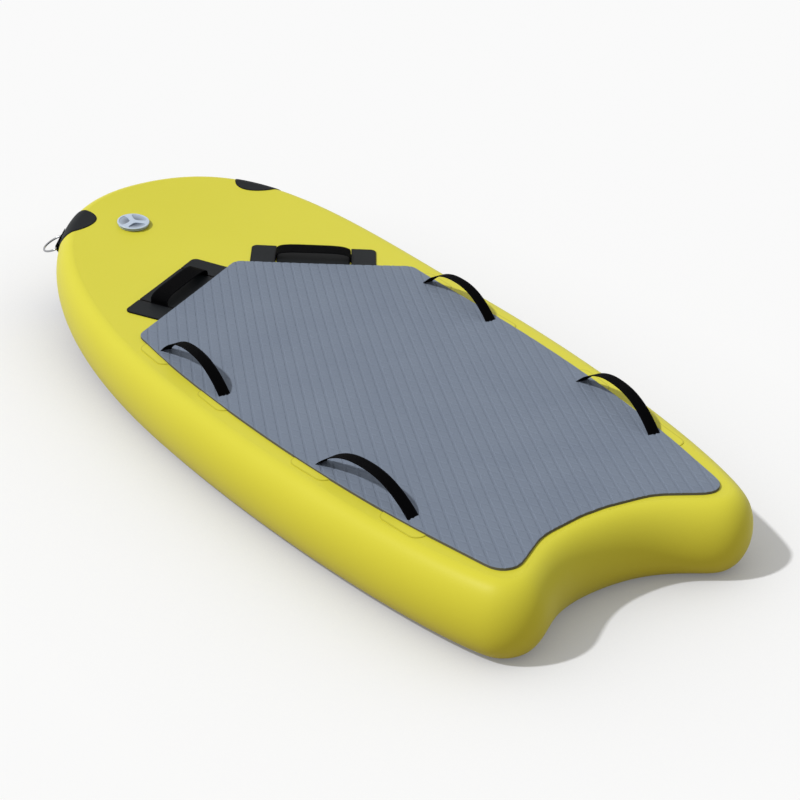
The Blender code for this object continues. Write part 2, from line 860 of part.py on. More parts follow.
def valve_body():
    top = flange_top
    low = gasket_top + fit_gap
    profile = [
        (barrel_bore, top), (flange_radius - 0.0008, top), (flange_radius, top - 0.0008),
        (flange_radius, low), (barrel_radius, low), (barrel_radius, seat_low),
        (guide_bore, seat_low), (guide_bore, seat_top), (barrel_bore, seat_top),
        (barrel_bore, groove_low), (groove_bore, groove_low),
        (groove_bore, groove_high), (barrel_bore, groove_high),
    ]
    body = revolve("valve_body", profile, 32, (valve_grey, 0.35))
    for i in range(3):
        turn = math.pi / 2 + 2 * math.pi * i / 3
        low, high = seat_low - 0.002, seat_top + 0.002
        half = math.radians(48)
        cut(body, wedge(f"seat_window_{i}", guide_radius, seat_bore, turn, half, low, high))
    for i in range(2):
        turn = math.pi * i
        low, high = groove_high - 0.001, top + 0.002
        half = lug_half_angle + math.radians(3)
        cut(body, wedge(f"lug_entry_{i}", barrel_bore - 0.002, groove_bore, turn, half, low, high))
    return body


def valve_stem():
    profile = [
        (0.0, poppet_low), (poppet_radius, poppet_low), (poppet_radius, poppet_top),
        (stem_radius, poppet_top), (stem_radius, button_low), (button_radius, button_low),
        (button_radius, button_top - 0.0004),
        (button_radius - 0.0006, button_top), (0.0, button_top),
    ]
    return revolve("valve_stem", profile, 24, (valve_grey, 0.35))


def valve_spring():
    low = seat_top + fit_gap + spring_wire
    high = button_low - fit_gap - spring_wire
    steps = 9
    sides = 5
    loops = []
    for i in range(spring_turns * steps + 1):
        turn = 2 * math.pi * i / steps
        height = low + (high - low) * i / (spring_turns * steps)
        loop = []
        for k in range(sides):
            around = 2 * math.pi * k / sides
            r = spring_radius + spring_wire * math.cos(around)
            lift = spring_wire * math.sin(around)
            loop.append((r * math.cos(turn), r * math.sin(turn), height + lift))
        loops.append(loop)
    return rings("valve_spring", loops, (steel, 0.3, 1.0), closed=False)


def ring_piece(name, inner, outer, low, high, segments, look):
    return revolve(name, [(inner, low), (outer, low), (outer, high), (inner, high)], segments, look)


def valve_nut():
    inner, top = barrel_radius + 0.0004, -fabric - fit_gap
    nut = ring_piece("valve_nut", inner, nut_radius, nut_low, top, 24, (valve_grey, 0.4))
    for i in range(8):
        turn = 2 * math.pi * (i + 0.5) / 8
        near, far = nut_radius - 0.003, nut_radius + 0.003
        cut(nut, wedge(f"nut_notch_{i}", near, far, turn, math.radians(7), nut_low - 0.002, 0.0, 2))
    return nut


def valve_cap():
    groove = seal_top + fit_gap
    profile = [
        (0.0, cap_low + 0.0022), (plug_inner, cap_low + 0.0022), (plug_inner, plug_low),
        (plug_outer, plug_low), (plug_outer, cap_low),
        (seal_inner - fit_gap, cap_low), (seal_inner - fit_gap, groove),
        (seal_outer + fit_gap, groove), (seal_outer + fit_gap, cap_low), (cap_radius - 0.0006, cap_low),
        (cap_radius, cap_low + 0.0006), (cap_radius, cap_top - 0.0010),
        (cap_radius - 0.0010, cap_top), (0.0, cap_top),
    ]
    cap = revolve("valve_cap", profile, 40, (valve_grey, 0.35))
    for i in range(3):
        turn = math.radians(27) + 2 * math.pi * i / 3
        cut(cap, cap_recess_cutter(f"finger_recess_{i}", turn))
    for i in range(2):
        turn = math.pi / 2 + math.pi * i
        inner, top = plug_outer - 0.001, plug_low + 0.0022
        lug = wedge(f"bayonet_lug_{i}", inner, lug_reach, turn, lug_half_angle, plug_low, top)
        cut(cap, lug, "UNION")
    return cap


def cap_recess_cutter(name, middle):
    """One of the three finger recesses that leave a Y of spokes and a rim standing."""
    outer = cap_radius - cap_rim - 0.002
    inner = 0.0055
    half = math.radians(46)
    corners = []
    for i in range(9):
        turn = middle - half + 2 * half * i / 8
        corners.append(Vector((outer * math.cos(turn), outer * math.sin(turn))))
    corners.append(Vector((inner * math.cos(middle), inner * math.sin(middle))))
    radii = [0.004] + [0.0] * 7 + [0.004, 0.005]
    return prism(name, rounded(corners, radii, 3), cap_top - cap_recess, cap_top + 0.002)


def valve(deck):
    frame = valve_frame()
    bore = [(0.0, -0.01), (deck_hole, -0.01), (deck_hole, 0.01), (0.0, 0.01)]
    hole = revolve("valve_hole", bore, 32)
    hole.matrix_world = frame
    cut(deck, hole)
    rubber = (rubber_black, 0.8)
    stem_seal_outer = poppet_radius - 0.0004
    pieces = [
        ring_piece("valve_gasket", gasket_inner, gasket_outer, fit_gap, gasket_top, 24, rubber),
        valve_body(),
        valve_nut(),
        valve_stem(),
        ring_piece(
            "stem_seal", stem_seal_inner, stem_seal_outer, poppet_top + fit_gap, seat_low - fit_gap, 24, rubber
        ),
        valve_spring(),
        valve_cap(),
        ring_piece("cap_seal", seal_inner, seal_outer, flange_top + fit_gap, seal_top, 24, rubber),
    ]
    for piece in pieces:
        piece.matrix_world = frame
        for modifier in piece.modifiers:
            modifier.object.matrix_world = frame


def build():
    clear_scene()
    deck = hull_skins()
    rail_wall()
    deck_pad()
    for side, sign in (("left", -1), ("right", 1)):
        tow_patch(side, sign)
        tow_tab(side, sign)
        tow_ring(side, sign)
    valve(deck)


build()
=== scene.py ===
import math

import bmesh
import bpy
import numpy as np
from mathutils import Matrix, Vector


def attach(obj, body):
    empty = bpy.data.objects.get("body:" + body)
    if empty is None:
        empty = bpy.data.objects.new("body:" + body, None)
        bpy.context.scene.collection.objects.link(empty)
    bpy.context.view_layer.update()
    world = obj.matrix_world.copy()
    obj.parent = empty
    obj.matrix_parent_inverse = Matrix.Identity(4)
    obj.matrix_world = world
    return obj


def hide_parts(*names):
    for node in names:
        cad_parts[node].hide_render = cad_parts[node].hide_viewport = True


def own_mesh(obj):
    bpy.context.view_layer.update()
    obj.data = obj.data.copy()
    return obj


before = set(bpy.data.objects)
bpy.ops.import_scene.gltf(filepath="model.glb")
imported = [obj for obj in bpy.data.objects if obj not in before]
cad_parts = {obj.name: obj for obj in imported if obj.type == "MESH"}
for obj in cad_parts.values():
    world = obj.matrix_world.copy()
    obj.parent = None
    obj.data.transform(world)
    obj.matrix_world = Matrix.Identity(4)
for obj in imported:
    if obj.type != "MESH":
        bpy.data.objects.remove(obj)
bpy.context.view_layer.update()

# Everything is in metres: +Y to the nose, +X to starboard, +Z up
# gap: between pieces that only touch; a slot is slotSlack thicker and wider than its webbing;
# a pocket is pocketSlack larger than its patch all round and cut pocketDepth below the deck
gap = 0.0003
slotSlack = (0.0008, 0.0012)
pocketSlack, pocketDepth = 0.0006, 0.003
mergeWithin = 2e-6
quarter = math.pi / 2


def unit(vectors):
    # each vector divided by its own length
    return vectors / np.linalg.norm(vectors, axis=-1, keepdims=True)


def turnedLeft(vectors):
    # each vector of the plane turned a quarter anticlockwise
    return np.stack([-vectors[..., 1], vectors[..., 0]], -1)


def pointing(angle):
    # unit vectors at these angles from the first axis
    return np.stack([np.cos(angle), np.sin(angle)], -1)


def bezier(points, count):
    # cubic curve between the outer two of four points, drawn towards the inner two
    t = np.linspace(0, 1, count)[:, None]
    a, b, c, d = np.asarray(points, float)
    return a * (1 - t) ** 3 + 3 * b * t * (1 - t) ** 2 + 3 * c * t * t * (1 - t) + d * t ** 3


def lengthsAlong(points):
    # the length of the line up to each of its points
    return np.concatenate([[0], np.cumsum(np.linalg.norm(np.diff(points, axis=0), axis=1))])


def valuesAt(wanted, run, table):
    # every column of the table read off at the wanted lengths of its run
    return np.stack([np.interp(wanted, run, column) for column in table.T], -1)


def evenly(points, count, closed=False):
    # the same line with points at equal steps of its own length
    if closed:
        points = np.vstack([points, points[:1]])
    run = lengthsAlong(points)
    return valuesAt(np.linspace(0, run[-1], count, endpoint=not closed), run, points)


def outwardNormals(loop):
    # normals of a closed outline in plan, square to the line through both neighbours
    x, y = loop.T
    clockwise = np.sum(x * np.roll(y, -1) - y * np.roll(x, -1)) < 0
    side = turnedLeft(unit(np.roll(loop, -1, 0) - np.roll(loop, 1, 0)))
    return side if clockwise else -side


def softCorners(corners, radii, steps=12):
    # every corner of a polygon swapped for an arc that touches both of its sides
    made = []
    count = len(corners)
    for i, corner in enumerate(corners):
        if radii[i] <= 0:
            made.append(corner[None])
            continue
        back = unit(corners[i - 1] - corner)
        ahead = unit(corners[(i + 1) % count] - corner)
        half = math.acos(np.clip(back @ ahead, -1, 1)) / 2
        centre = corner + unit(back + ahead) * radii[i] / math.sin(half)
        first = corner + back * radii[i] / math.tan(half) - centre
        last = corner + ahead * radii[i] / math.tan(half) - centre
        sweep = math.atan2(first[0] * last[1] - first[1] * last[0], first @ last)
        turn = sweep * np.linspace(0, 1, steps + 1)[:, None]
        made.append(centre + first * np.cos(turn) + turnedLeft(first) * np.sin(turn))
    return np.vstack(made)


def softened(path, rounds=2):
    # corners cut at a quarter and three quarters of every step, both ends kept
    for _ in range(rounds):
        a, b = path[:-1], path[1:]
        cut = np.stack([a * 0.75 + b * 0.25, a * 0.25 + b * 0.75], 1).reshape(-1, 2)
        path = np.vstack([path[:1], cut, path[-1:]])
    return path


def blurred(loop, spread):
    # each point of a closed line swapped for the bell-weighted mean of the points around it
    step = np.linalg.norm(loop[1] - loop[0])
    reach = np.arange(-int(3 * spread / step), int(3 * spread / step) + 1)
    weights = np.exp(-0.5 * (reach * step / spread) ** 2)
    return sum(w * np.roll(loop, -k, 0) for k, w in zip(reach, weights)) / weights.sum()


def gridFaces(rows, columns, wrapRows=False, wrapColumns=False):
    # faces of four between neighbours of a grid numbered row by row, closed round where it wraps
    i = np.arange(rows if wrapRows else rows - 1)
    j = np.arange(columns if wrapColumns else columns - 1)
    i, j = np.meshgrid(i, j, indexing="ij")
    nextI, nextJ = (i + 1) % rows, (j + 1) % columns
    corners = [i * columns + j, nextI * columns + j, nextI * columns + nextJ, i * columns + nextJ]
    return np.stack(corners, -1).reshape(-1, 4)


def added(name, data):
    # a new object of the scene that shows this data
    made = bpy.data.objects.new(name, data)
    bpy.context.scene.collection.objects.link(made)
    return made


def tidyMesh(mesh, sharp):
    # doubles merged, faces outwards, edges sharper than an angle kept crisp
    shape = bmesh.new()
    shape.from_mesh(mesh)
    bmesh.ops.remove_doubles(shape, verts=shape.verts[:], dist=mergeWithin)
    bmesh.ops.dissolve_degenerate(shape, edges=shape.edges[:], dist=mergeWithin)
    if shape.calc_volume(signed=True) < 0:
        bmesh.ops.reverse_faces(shape, faces=shape.faces[:])
    for face in shape.faces:
        face.smooth = True
    limit = math.radians(sharp)
    for edge in shape.edges:
        edge.smooth = edge.is_manifold and edge.calc_face_angle(0.0) < limit
    shape.to_mesh(mesh)
    shape.free()
    mesh.update()


def makePiece(name, points, quads, uv=None, marks=None, sharp=35):
    # one closed body from points and faces of four, with marks of one number per point
    mesh = bpy.data.meshes.new(name)
    flat = quads.ravel()
    mesh.vertices.add(len(points))
    mesh.vertices.foreach_set("co", np.asarray(points, np.float32).ravel())
    mesh.loops.add(len(flat))
    mesh.loops.foreach_set("vertex_index", flat.astype(np.int32))
    mesh.polygons.add(len(quads))
    mesh.polygons.foreach_set("loop_start", np.arange(0, len(flat), 4, dtype=np.int32))
    mesh.update(calc_edges=True)
    if uv is not None:
        layer = mesh.uv_layers.new(name="UVMap")
        layer.data.foreach_set("uv", uv.reshape(-1, 2)[flat].astype(np.float32).ravel())
    for label, values in (marks or {}).items():
        made = mesh.attributes.new(label, "FLOAT", "POINT")
        made.data.foreach_set("value", np.asarray(values, np.float32))
    piece = added(name, mesh)
    tidyMesh(mesh, sharp)
    return piece


def carve(piece, cutter, operation="DIFFERENCE", sharp=35):
    # a boolean with the cutter, worked into the piece's mesh
    modifier = piece.modifiers.new("carve", "BOOLEAN")
    modifier.operation = operation
    modifier.solver = "EXACT"
    modifier.use_self = False
    modifier.object = cutter
    bpy.context.view_layer.update()
    graph = bpy.context.evaluated_depsgraph_get()
    finished = bpy.data.meshes.new_from_object(piece.evaluated_get(graph))
    piece.modifiers.clear()
    piece.data = finished
    tidyMesh(finished, sharp)
    bpy.data.objects.remove(cutter, do_unlink=True)


def shell(name, outer, inner, wrapRows=False, **more):
    # a thick skin: two grids of points with the same rows and columns, joined along their open borders
    rows, columns = outer.shape[:2]
    faces = gridFaces(rows, columns, wrapRows)
    far = rows * columns
    index = np.arange(far).reshape(rows, columns)
    borders = [index[:, 0], index[:, -1][::-1]]
    if not wrapRows:
        borders += [index[0][::-1], index[-1]]
    quads = [faces, faces[:, ::-1] + far]
    for border in borders:
        ahead = np.roll(border, -1) if wrapRows else border[1:]
        here = border if wrapRows else border[:-1]
        quads.append(np.stack([ahead, here, here + far, ahead + far], 1))
    points = np.concatenate([outer.reshape(-1, 3), inner.reshape(-1, 3)])
    return makePiece(name, points, np.vstack(quads), **more)


def tube(name, loops, wrap=True, uv=None):
    # loops of points skinned in order; an open one is closed at both ends by a point in the middle
    rows, columns = loops.shape[:2]
    if not wrap:
        first, last = (np.repeat(loops[k].mean(0)[None, None], columns, 1) for k in (0, -1))
        loops = np.concatenate([first, loops, last])
        rows += 2
        if uv is not None:
            uv = np.concatenate([uv[:1], uv, uv[-1:]])
    faces = gridFaces(rows, columns, wrapRows=wrap, wrapColumns=True)
    return makePiece(name, loops.reshape(-1, 3), faces, uv=uv)


def turned(name, profile, segments, **more):
    # a profile of (radius, height) that starts and ends on the axis, turned about Z
    turn = np.linspace(0, 2 * math.pi, segments, endpoint=False)[:, None]
    r, z = np.asarray(profile, float).T
    points = np.stack([r * np.cos(turn), r * np.sin(turn), z + 0 * turn], -1)
    return makePiece(name, points.reshape(-1, 3), gridFaces(segments, len(profile), wrapRows=True), **more)


def stacked(name, rows, **more):
    # (outline in plan, height) pairs skinned in order; the first and the last are drawn to a point
    loops = np.array([np.column_stack([flat, z + np.zeros(len(flat))]) for flat, z in rows])
    faces = gridFaces(len(rows), len(rows[0][0]), wrapColumns=True)
    return makePiece(name, loops.reshape(-1, 3), faces, **more)


def prism(name, outline, low, high):
    # the outline carried straight up from low to high, each end closed to its middle
    middle = outline.mean(0)
    levels = ((0.0, low), (1.0, low), (1.0, high), (0.0, high))
    return stacked(name, [(middle + (outline - middle) * s, z) for s, z in levels])


def joined(name, parts):
    # several bodies put into one mesh as they are
    bpy.context.view_layer.update()
    shape = bmesh.new()
    for part in parts:
        shape.from_mesh(part.data)
        bpy.data.objects.remove(part, do_unlink=True)
    mesh = bpy.data.meshes.new(name)
    shape.to_mesh(mesh)
    shape.free()
    return added(name, mesh)


def movePoints(piece, change):
    # every point of the mesh swapped for what the change makes of it
    mesh = piece.data
    flat = np.zeros(len(mesh.vertices) * 3)
    mesh.vertices.foreach_get("co", flat)
    mesh.vertices.foreach_set("co", change(flat.reshape(-1, 3)).astype(np.float32).ravel())
    mesh.update()
    return piece


def operator(operation, reflected=False):
    # an operator between wires, or a wire and a number, that adds a Math node
    def apply(wire, other):
        first, second = (other, wire) if reflected else (wire, other)
        return wire.graph.node("ShaderNodeMath", {"operation": operation}, {0: first, 1: second})
    return apply


class Wire:
    # a socket whose operators add Math nodes
    def __init__(self, graph, socket):
        self.graph, self.socket = graph, socket

    def __abs__(self):
        return self.graph.node("ShaderNodeMath", {"operation": "ABSOLUTE"}, {0: self})

    __add__, __radd__ = operator("ADD"), operator("ADD", True)
    __sub__, __rsub__ = operator("SUBTRACT"), operator("SUBTRACT", True)
    __mul__, __rmul__ = operator("MULTIPLY"), operator("MULTIPLY", True)
    __truediv__, __rtruediv__ = operator("DIVIDE"), operator("DIVIDE", True)
    __mod__, __rmod__ = operator("FLOORED_MODULO"), operator("FLOORED_MODULO", True)
    __gt__, __lt__ = operator("GREATER_THAN"), operator("LESS_THAN")


class Graph:
    # the nodes of a material or of the world, with the values that stay fixed on its shader
    def __init__(self, owner, shader, **fixed):
        owner.use_nodes = True
        self.tree = owner.node_tree
        self.shader = self.tree.nodes[shader]
        for socket, value in fixed.items():
            self.shader.inputs[socket.replace("_", " ")].default_value = value

    def node(self, kind, settings=None, inputs=None, output=0):
        made = self.tree.nodes.new(kind)
        for key, value in (settings or {}).items():
            setattr(made, key, value)
        for key, value in (inputs or {}).items():
            if isinstance(value, Wire):
                self.tree.links.new(value.socket, made.inputs[key])
            else:
                made.inputs[key].default_value = value
        return Wire(self, made.outputs[output])

    def ray(self, name):
        return self.node("ShaderNodeLightPath", output=name)


class Look(Graph):
    # a material whose nodes end in one Principled shader
    def __init__(self, name, roughness, **fixed):
        self.material = bpy.data.materials.new(name)
        super().__init__(self.material, "Principled BSDF", Roughness=roughness, **fixed)

    def link(self, socket, wire):
        self.tree.links.new(wire.socket, self.shader.inputs[socket])

    def place(self):
        return self.node("ShaderNodeTexCoord", output="Object")

    def parts(self, vector):
        split = self.node("ShaderNodeSeparateXYZ", inputs={0: vector})
        outputs = split.socket.node.outputs
        return [Wire(self, outputs[k]) for k in range(3)]

    def uv(self):
        return self.parts(self.node("ShaderNodeUVMap", {"uv_map": "UVMap"}))[:2]

    def mark(self, name):
        return self.node("ShaderNodeAttribute", {"attribute_name": name}, output="Fac")

    def noise(self, scale, detail=2.0, vector=None):
        inputs = {"Vector": vector or self.place(), "Scale": scale, "Detail": detail, "Roughness": 0.5}
        return self.node("ShaderNodeTexNoise", inputs=inputs)

    def blend(self, amount, first, second):
        first, second = (c if isinstance(c, Wire) else (*c, 1.0) for c in (first, second))
        settings = {"data_type": "RGBA"}
        return self.node("ShaderNodeMix", settings, {0: amount, 6: first, 7: second}, output=2)

    def clamp(self, value):
        return self.node("ShaderNodeClamp", inputs={0: value, 1: 0.0, 2: 1.0})

    def band(self, value, pitch, width):
        # 1 in the middle of a line that comes back every pitch, falling to 0 at half its width
        away = abs((value + pitch / 2) % pitch - pitch / 2)
        return self.clamp(1 - away / (width / 2))

    def finish(self, colour, roughness, height, distance, strength):
        self.link("Base Color", colour)
        self.link("Roughness", roughness)
        inputs = {"Height": height, "Distance": distance, "Strength": strength}
        self.link("Normal", self.node("ShaderNodeBump", inputs=inputs))
        return self.material


def linear(*screen):
    # an 8-bit screen colour as the light that a shader works in
    shares = [value / 255 for value in screen]
    return tuple(c / 12.92 if c <= 0.04045 else ((c + 0.055) / 1.055) ** 2.4 for c in shares)


def coatedFabric():
    # yellow laminate: its woven core shows as a very fine relief, with slow changes of tone
    look = Look("hull laminate", 0.42, Specular_IOR_Level=0.16)
    thread = 0.0016
    x, y, z = look.parts(look.place())
    cloud = look.noise(3.2, 3.0)
    grain = look.noise(260.0)
    colour = look.blend(cloud, linear(213, 206, 57), linear(220, 213, 70))
    colour = look.blend(grain * 0.14, colour, linear(200, 192, 50))
    # painted shade: darker along the bevelled rims of the patches laid on the deck, where the mark "rim" is
    # 1
    colour = look.blend(look.mark("rim") * 0.6, colour, linear(178, 170, 40))
    core = look.band(x, thread, thread) + look.band(y + z, thread, thread)
    rough = 0.38 + 0.08 * cloud + 0.06 * grain
    return look.finish(colour, rough, core * 0.5 + grain, 0.00006, 0.55)


def foam(name, top):
    # closed-cell foam with a fine brushed grain; painted shade runs down the middle of its grooves, and the
    # cut edge is painted darker and browner as shade
    look = Look(name, 0.82, Specular_IOR_Level=0.25)
    speck = look.noise(900.0)
    cloud = look.noise(7.0, 3.0)
    if top:
        colour = look.blend(cloud, linear(116, 126, 142), linear(126, 136, 151))
        colour = look.blend(speck * 0.35, colour, linear(101, 111, 128))
        x, y, z = look.parts(look.place())
        c, s = pointing(padLook["heading"])
        lines = look.band(x * c - y * s, padLook["pitch"], padLook["width"] * 1.3)
        cross = look.band(x * c + y * s, padLook["pitch"], padLook["crossWidth"])
        # painted shade down the middle of each groove of both families
        colour = look.blend(lines * 0.06, colour, linear(84, 94, 110))
        colour = look.blend(cross * 0.03, colour, linear(88, 98, 114))
    else:
        colour = look.blend(speck, linear(84, 82, 76), linear(98, 95, 86))
    return look.finish(colour, 0.78 + 0.12 * speck, speck + cloud * 0.3, 0.0002, 0.5)


def wovenWebbing(name, stitchOut):
    # plain-woven nylon: warp cords along the strap crossed by weft, and a row of stitches near each edge
    look = Look(name, 0.75, Specular_IOR_Level=0.02)
    warp, weft = 0.0015, 0.0011
    stitchHalf, stitchPitch, stitchBreak = 0.0006, 0.0034, 0.0009
    across, along = look.uv()
    cords = look.band(across, warp, warp)
    shift = (across / warp) % 2.0 > 1.0
    beats = look.band(along + shift * (weft / 2), weft, weft)
    weave = cords * 0.6 + cords * beats * 0.4
    fuzz = look.noise(1500.0)
    line = look.clamp(1 - abs(abs(across) - stitchOut) / stitchHalf)
    stitch = line * (along % stitchPitch > stitchBreak)
    colour = look.blend(weave, linear(1, 1, 2), linear(7, 7, 8))
    colour = look.blend(stitch, colour, linear(15, 15, 18))
    height = weave + stitch * 1.2 + fuzz * 0.2
    return look.finish(colour, 0.68 + 0.2 * fuzz, height, 0.0003, 0.7)


def darkPatch():
    # black-blue coated fabric patch, darker along its rim
    look = Look("patch laminate", 0.55, Specular_IOR_Level=0.10)
    thread = 0.0018
    x, y, z = look.parts(look.place())
    grain = look.noise(420.0, 3.0)
    cloud = look.noise(14.0)
    colour = look.blend(cloud, linear(18, 21, 23), linear(25, 28, 31))
    colour = look.blend(grain * 0.4, colour, linear(14, 16, 19))
    colour = look.blend(look.mark("rim"), colour, linear(5, 5, 7))
    core = look.band(x, thread, thread) * look.band(y, thread, thread)
    return look.finish(colour, 0.5 + 0.15 * grain, grain + core * 0.5, 0.0001, 0.5)


def mouldedPlastic(name, first, second, rough):
    # moulded plastic: faint flow marks and a fine satin texture, with painted shade where the mark "sunk" is
    # 1
    look = Look(name, rough, Coat_Weight=0.15, Coat_Roughness=0.2)
    flow = look.noise(60.0)
    grain = look.noise(1400.0)
    colour = look.blend(look.mark("sunk"), look.blend(flow, first, second), linear(112, 122, 136))
    return look.finish(colour, rough + 0.08 * grain, grain, 0.00004, 0.5)


def rubber():
    # dull black rubber with a fine grain
    look = Look("seal rubber", 0.8, Specular_IOR_Level=0.3)
    grain = look.noise(700.0)
    colour = look.blend(grain, linear(22, 22, 23), linear(36, 36, 37))
    return look.finish(colour, 0.75 + 0.15 * grain, grain, 0.0001, 0.5)


def drawnSteel(name):
    # polished wire with fine drawing marks
    look = Look(name, 0.22, Metallic=1.0)
    inputs = {"Vector": look.place(), "Scale": (900.0, 900.0, 120.0)}
    marks = look.noise(1.0, vector=look.node("ShaderNodeMapping", inputs=inputs))
    colour = look.blend(marks, linear(132, 133, 136), linear(176, 177, 180))
    return look.finish(colour, 0.14 + 0.14 * marks, marks, 0.00003, 0.3)


padLook = {
    "heading": math.radians(24.0), "pitch": 0.0208, "count": 56, "wall": 0.0013,
    "width": 0.0060, "depth": 0.00092, "crossWidth": 0.0058, "crossDepth": 0.0007,
}
hullYellow = coatedFabric()
foamTop = foam("deck foam", True)
foamEdgeShade = foam("foam edge", False)
strapWeb = wovenWebbing("strap webbing", 0.0100)
handleWeb = wovenWebbing("handle webbing", 0.0180)
tabWeb = wovenWebbing("tab webbing", 0.0215)
patchBlack = darkPatch()
capPlastic = mouldedPlastic("valve cap plastic", linear(183, 198, 216), linear(190, 204, 221), 0.34)
bodyPlastic = mouldedPlastic("valve body plastic", linear(168, 182, 200), linear(176, 190, 207), 0.4)
sealRubber = rubber()
ringSteel = drawnSteel("ring steel")
springSteel = drawnSteel("spring steel")
print("materials made")


def paint(piece, *materials):
    # these materials in place of the piece's own
    piece.data.materials.clear()
    for material in materials:
        piece.data.materials.append(material)


def place(piece, body, slotName, node, *materials):
    # the piece's materials, the body it rides on and the solid that it stands for; its slot is not used
    paint(piece, *materials)
    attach(piece, body)
    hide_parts(node)


hull = {
    "length": 1.900, "width": 0.850, "thickness": 0.150, "fabric": 0.0015,
    "railDepth": 0.046, "railLap": 0.020, "lapClear": 0.0004, "seam": 0.0001, "spineShare": 0.80,
    "widestBack": 0.830, "noseFullness": 0.302, "bowFullness": 0.562, "sternFullness": 0.559,
    "cornerIn": 0.2006, "cornerAhead": 0.0816, "cornerRadius": 0.0811,
    "cornerStart": -37.5, "cornerEnd": -83.0, "cornerLead": 0.071,
    "notchLead": 0.069, "notchDepth": 0.0765, "notchFullness": 0.1515,
    "rockerRun": 0.927, "rockerRise": 0.0988,
    "curveSteps": 900, "cornerSteps": 120, "notchSteps": 400,
    "roundSteps": 420, "railSteps": 40, "panelSteps": 16,
}
noseY, sideX, deckZ = hull["length"] / 2, hull["width"] / 2, hull["thickness"]
cornerCentre = np.array([sideX - hull["cornerIn"], hull["cornerAhead"] - noseY])


def halfPlan():
    # starboard half, nose to tail: bow curve, stern curve, tail corner arc and half of the notch
    start, end = math.radians(hull["cornerStart"]), math.radians(hull["cornerEnd"])
    arc = pointing(np.linspace(start, end, hull["cornerSteps"]))
    corner = cornerCentre + hull["cornerRadius"] * arc
    nose, notch = np.array([0, noseY]), np.array([0, hull["notchDepth"] - noseY])
    widest = np.array([sideX, noseY - hull["widestBack"]])
    noseLead, bowLead = nose + [hull["noseFullness"], 0], widest + [0, hull["bowFullness"]]
    sternLead = widest - [0, hull["sternFullness"]]
    enterLead = corner[0] + hull["cornerLead"] * turnedLeft(arc[0])
    leaveLead = corner[-1] - hull["notchLead"] * turnedLeft(arc[-1])
    bow = bezier([nose, noseLead, bowLead, widest], hull["curveSteps"])
    stern = bezier([widest, sternLead, enterLead, corner[0]], hull["curveSteps"])
    tail = bezier([corner[-1], leaveLead, notch + [hull["notchFullness"], 0], notch], hull["notchSteps"])
    half = np.vstack([bow, stern[1:], corner[1:], tail[1:]])
    half[:, 1] = noseY - (noseY - half[:, 1]) * hull["length"] / (noseY - half[:, 1].min())
    return half


def wholePlan(count):
    # the starboard half at equal steps, then its mirror image back to the nose
    half = evenly(halfPlan(), count // 2 + 1)
    return np.vstack([half, half[1:-1][::-1] * [-1, 1]])


def rocker(y):
    # the nose rises with the square of the distance past where the rocker starts
    share = np.clip((y - (noseY - hull["rockerRun"])) / hull["rockerRun"], 0, None)
    return hull["rockerRise"] * share ** 2


def lifted(points):
    # points raised by the rocker at their own place along the hull
    points = np.array(points, float)
    points[..., 2] += rocker(points[..., 1])
    return points


def lay(piece, slotName, node, *materials):
    # a piece that was drawn flat over the deck, lifted with the rocker
    place(movePoints(piece, lifted), "hull", slotName, node, *materials)


def railNormal(angle):
    # outwards from the half ellipse: the cosine over its depth, the sine over its half height
    return unit(pointing(angle) / [hull["railDepth"], deckZ / 2])


def railSection(angle, offset=0.0):
    # (out, up) on the rail's half ellipse; angle 90 degrees is its top; offset stands off it
    size = [hull["railDepth"], deckZ / 2]
    spot = (pointing(angle) - [1, 0]) * size + [0, deckZ / 2]
    return spot + railNormal(angle) * np.asarray(offset)[..., None]


plan = wholePlan(hull["roundSteps"])
planNormal = outwardNormals(plan)


def panel(name, outerZ, innerZ):
    # flat sheet: the seam's outline drawn towards a line down the middle, then lifted with the rocker
    edge = plan - planNormal * (hull["railDepth"] + hull["seam"])
    spine = edge * [0, hull["spineShare"]]
    share = np.linspace(0, 1, hull["panelSteps"])[None, :, None]
    flat = edge[:, None] * (1 - share) + spine[:, None] * share
    outer, inner = (lifted(np.dstack([flat, np.full(flat.shape[:2], z)])) for z in (outerZ, innerZ))
    return shell(name, outer, inner, wrapRows=True)


def railBand():
    # closed section of the side wall, the half ellipse outside and inside with a lap under each panel
    angle = np.linspace(quarter, -quarter, hull["railSteps"] + 1)
    inside = railSection(angle, -hull["fabric"])[::-1]
    thick = hull["fabric"]
    start = -hull["railDepth"] - hull["lapClear"]
    end = -hull["railDepth"] - hull["railLap"]
    high, low = deckZ - thick - gap, thick + gap
    topLap = [(end, high), (start, high)]
    lowLap = [(start, low), (end, low), (end, low + thick)]
    section = np.vstack([topLap, railSection(angle), lowLap, inside[1:-1], [(end, high - thick)]])
    loops = plan[:, None] + planNormal[:, None] * section[None, :, :1]
    loops = np.dstack([loops, np.broadcast_to(section[:, 1], loops.shape[:2])])
    return tube("hullRail", lifted(loops))


valveSpot = {"x": -0.129, "back": 0.215, "hole": 0.0225, "holeReach": 0.01, "holeSides": 64, "flat": 0.045}
valveY = noseY - valveSpot["back"]
valveRise = rocker(valveY + valveSpot["flat"]) - rocker(valveY - valveSpot["flat"])
tilt = math.atan(valveRise / (2 * valveSpot["flat"]))


def valvePlaced(points):
    # from the valve's own axes to the deck, tilted with the rocker
    x, y, z = np.moveaxis(np.asarray(points, float), -1, 0)
    turnedY = y * math.cos(tilt) - z * math.sin(tilt)
    turnedZ = y * math.sin(tilt) + z * math.cos(tilt)
    return np.stack([x + valveSpot["x"], turnedY + valveY, turnedZ + deckZ + rocker(valveY)], -1)


